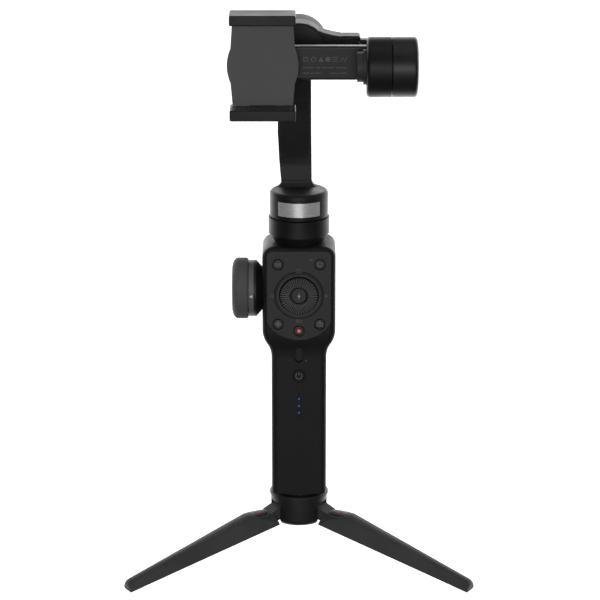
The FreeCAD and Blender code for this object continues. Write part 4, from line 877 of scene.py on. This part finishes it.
def makeFloor():
    bm = bmesh.new()
    bmesh.ops.create_grid(bm, x_segments=8, y_segments=8, size=studio["floorHalf"])
    mesh = bpy.data.meshes.new("floor")
    bm.to_mesh(mesh)
    bm.free()
    floor = newObject("floor", mesh)
    material, tree, shader, where = startMaterial("matt white paper sweep, lit from below")
    fibre = noise(tree, where, 4.0, 3.0)
    tint = blended(tree, fibre, linear("#F4F4F4"), linear("#FAFAFA"))
    connect(tree, shader, {"Base Color": tint, "Roughness": 0.9, "Specular IOR Level": 0.0,
                           "Emission Color": tint, "Emission Strength": studio["floorGlow"]})
    mesh.materials.append(material)
    # black plastic would turn grey if it mirrored this much white
    floor.visible_glossy = False
    floor.visible_diffuse = False


def makeWorld():
    world = bpy.data.worlds.new("studio")
    scene.world = world
    world.use_nodes = True
    tree = world.node_tree
    tree.nodes.clear()
    # a lit backdrop behind the object, near the horizon, and dark above and in front
    where = addNode(tree, "ShaderNodeTexCoord")
    parts = addNode(tree, "ShaderNodeSeparateXYZ", inputs={0: where.outputs["Generated"]})
    wall = spread(tree, parts.outputs[1], 0.0, 1.0, 0.1, 0.75)
    band = spread(tree, parts.outputs[2], 1.0, 0.0, 0.28, 0.62)
    lit = addNode(tree, "ShaderNodeMath", {"operation": "MULTIPLY"}, {0: wall, 1: band}).outputs[0]
    shade = spread(tree, lit, studio["front"], studio["behind"], 0.0, 1.0)
    ray = addNode(tree, "ShaderNodeLightPath")
    strength = addNode(tree, "ShaderNodeMix", inputs={0: ray.outputs["Is Camera Ray"], 2: shade, 3: 1.0})
    back = addNode(tree, "ShaderNodeBackground",
                   inputs={"Color": (1, 1, 1, 1), "Strength": strength.outputs[0]})
    addNode(tree, "ShaderNodeOutputWorld", inputs={0: back.outputs[0]})


def makeLamp(name, form):
    light = bpy.data.lights.new(name, "AREA")
    light.shape = "RECTANGLE"
    light.size, light.size_y = form["size"]
    light.energy = form["power"]
    lamp = newObject(name, light)
    lamp.location = form["place"]
    aim = Vector(form["target"]) - Vector(form["place"])
    lamp.rotation_euler = aim.to_track_quat("-Z", "Y").to_euler()


def makeCamera():
    lens = bpy.data.cameras.new("camera")
    lens.lens = view["lens"]
    lens.sensor_width = 36.0
    lens.clip_end = 50.0
    camera = newObject("camera", lens)
    camera.location = view["place"]
    camera.rotation_euler = (math.radians(90 - view["down"]), 0, 0)
    scene.camera = camera


makeFloor()
makeWorld()
for name, form in lamps.items():
    makeLamp(name, form)
makeCamera()
scene.view_settings.view_transform = "Standard"
print("stage: studio made")
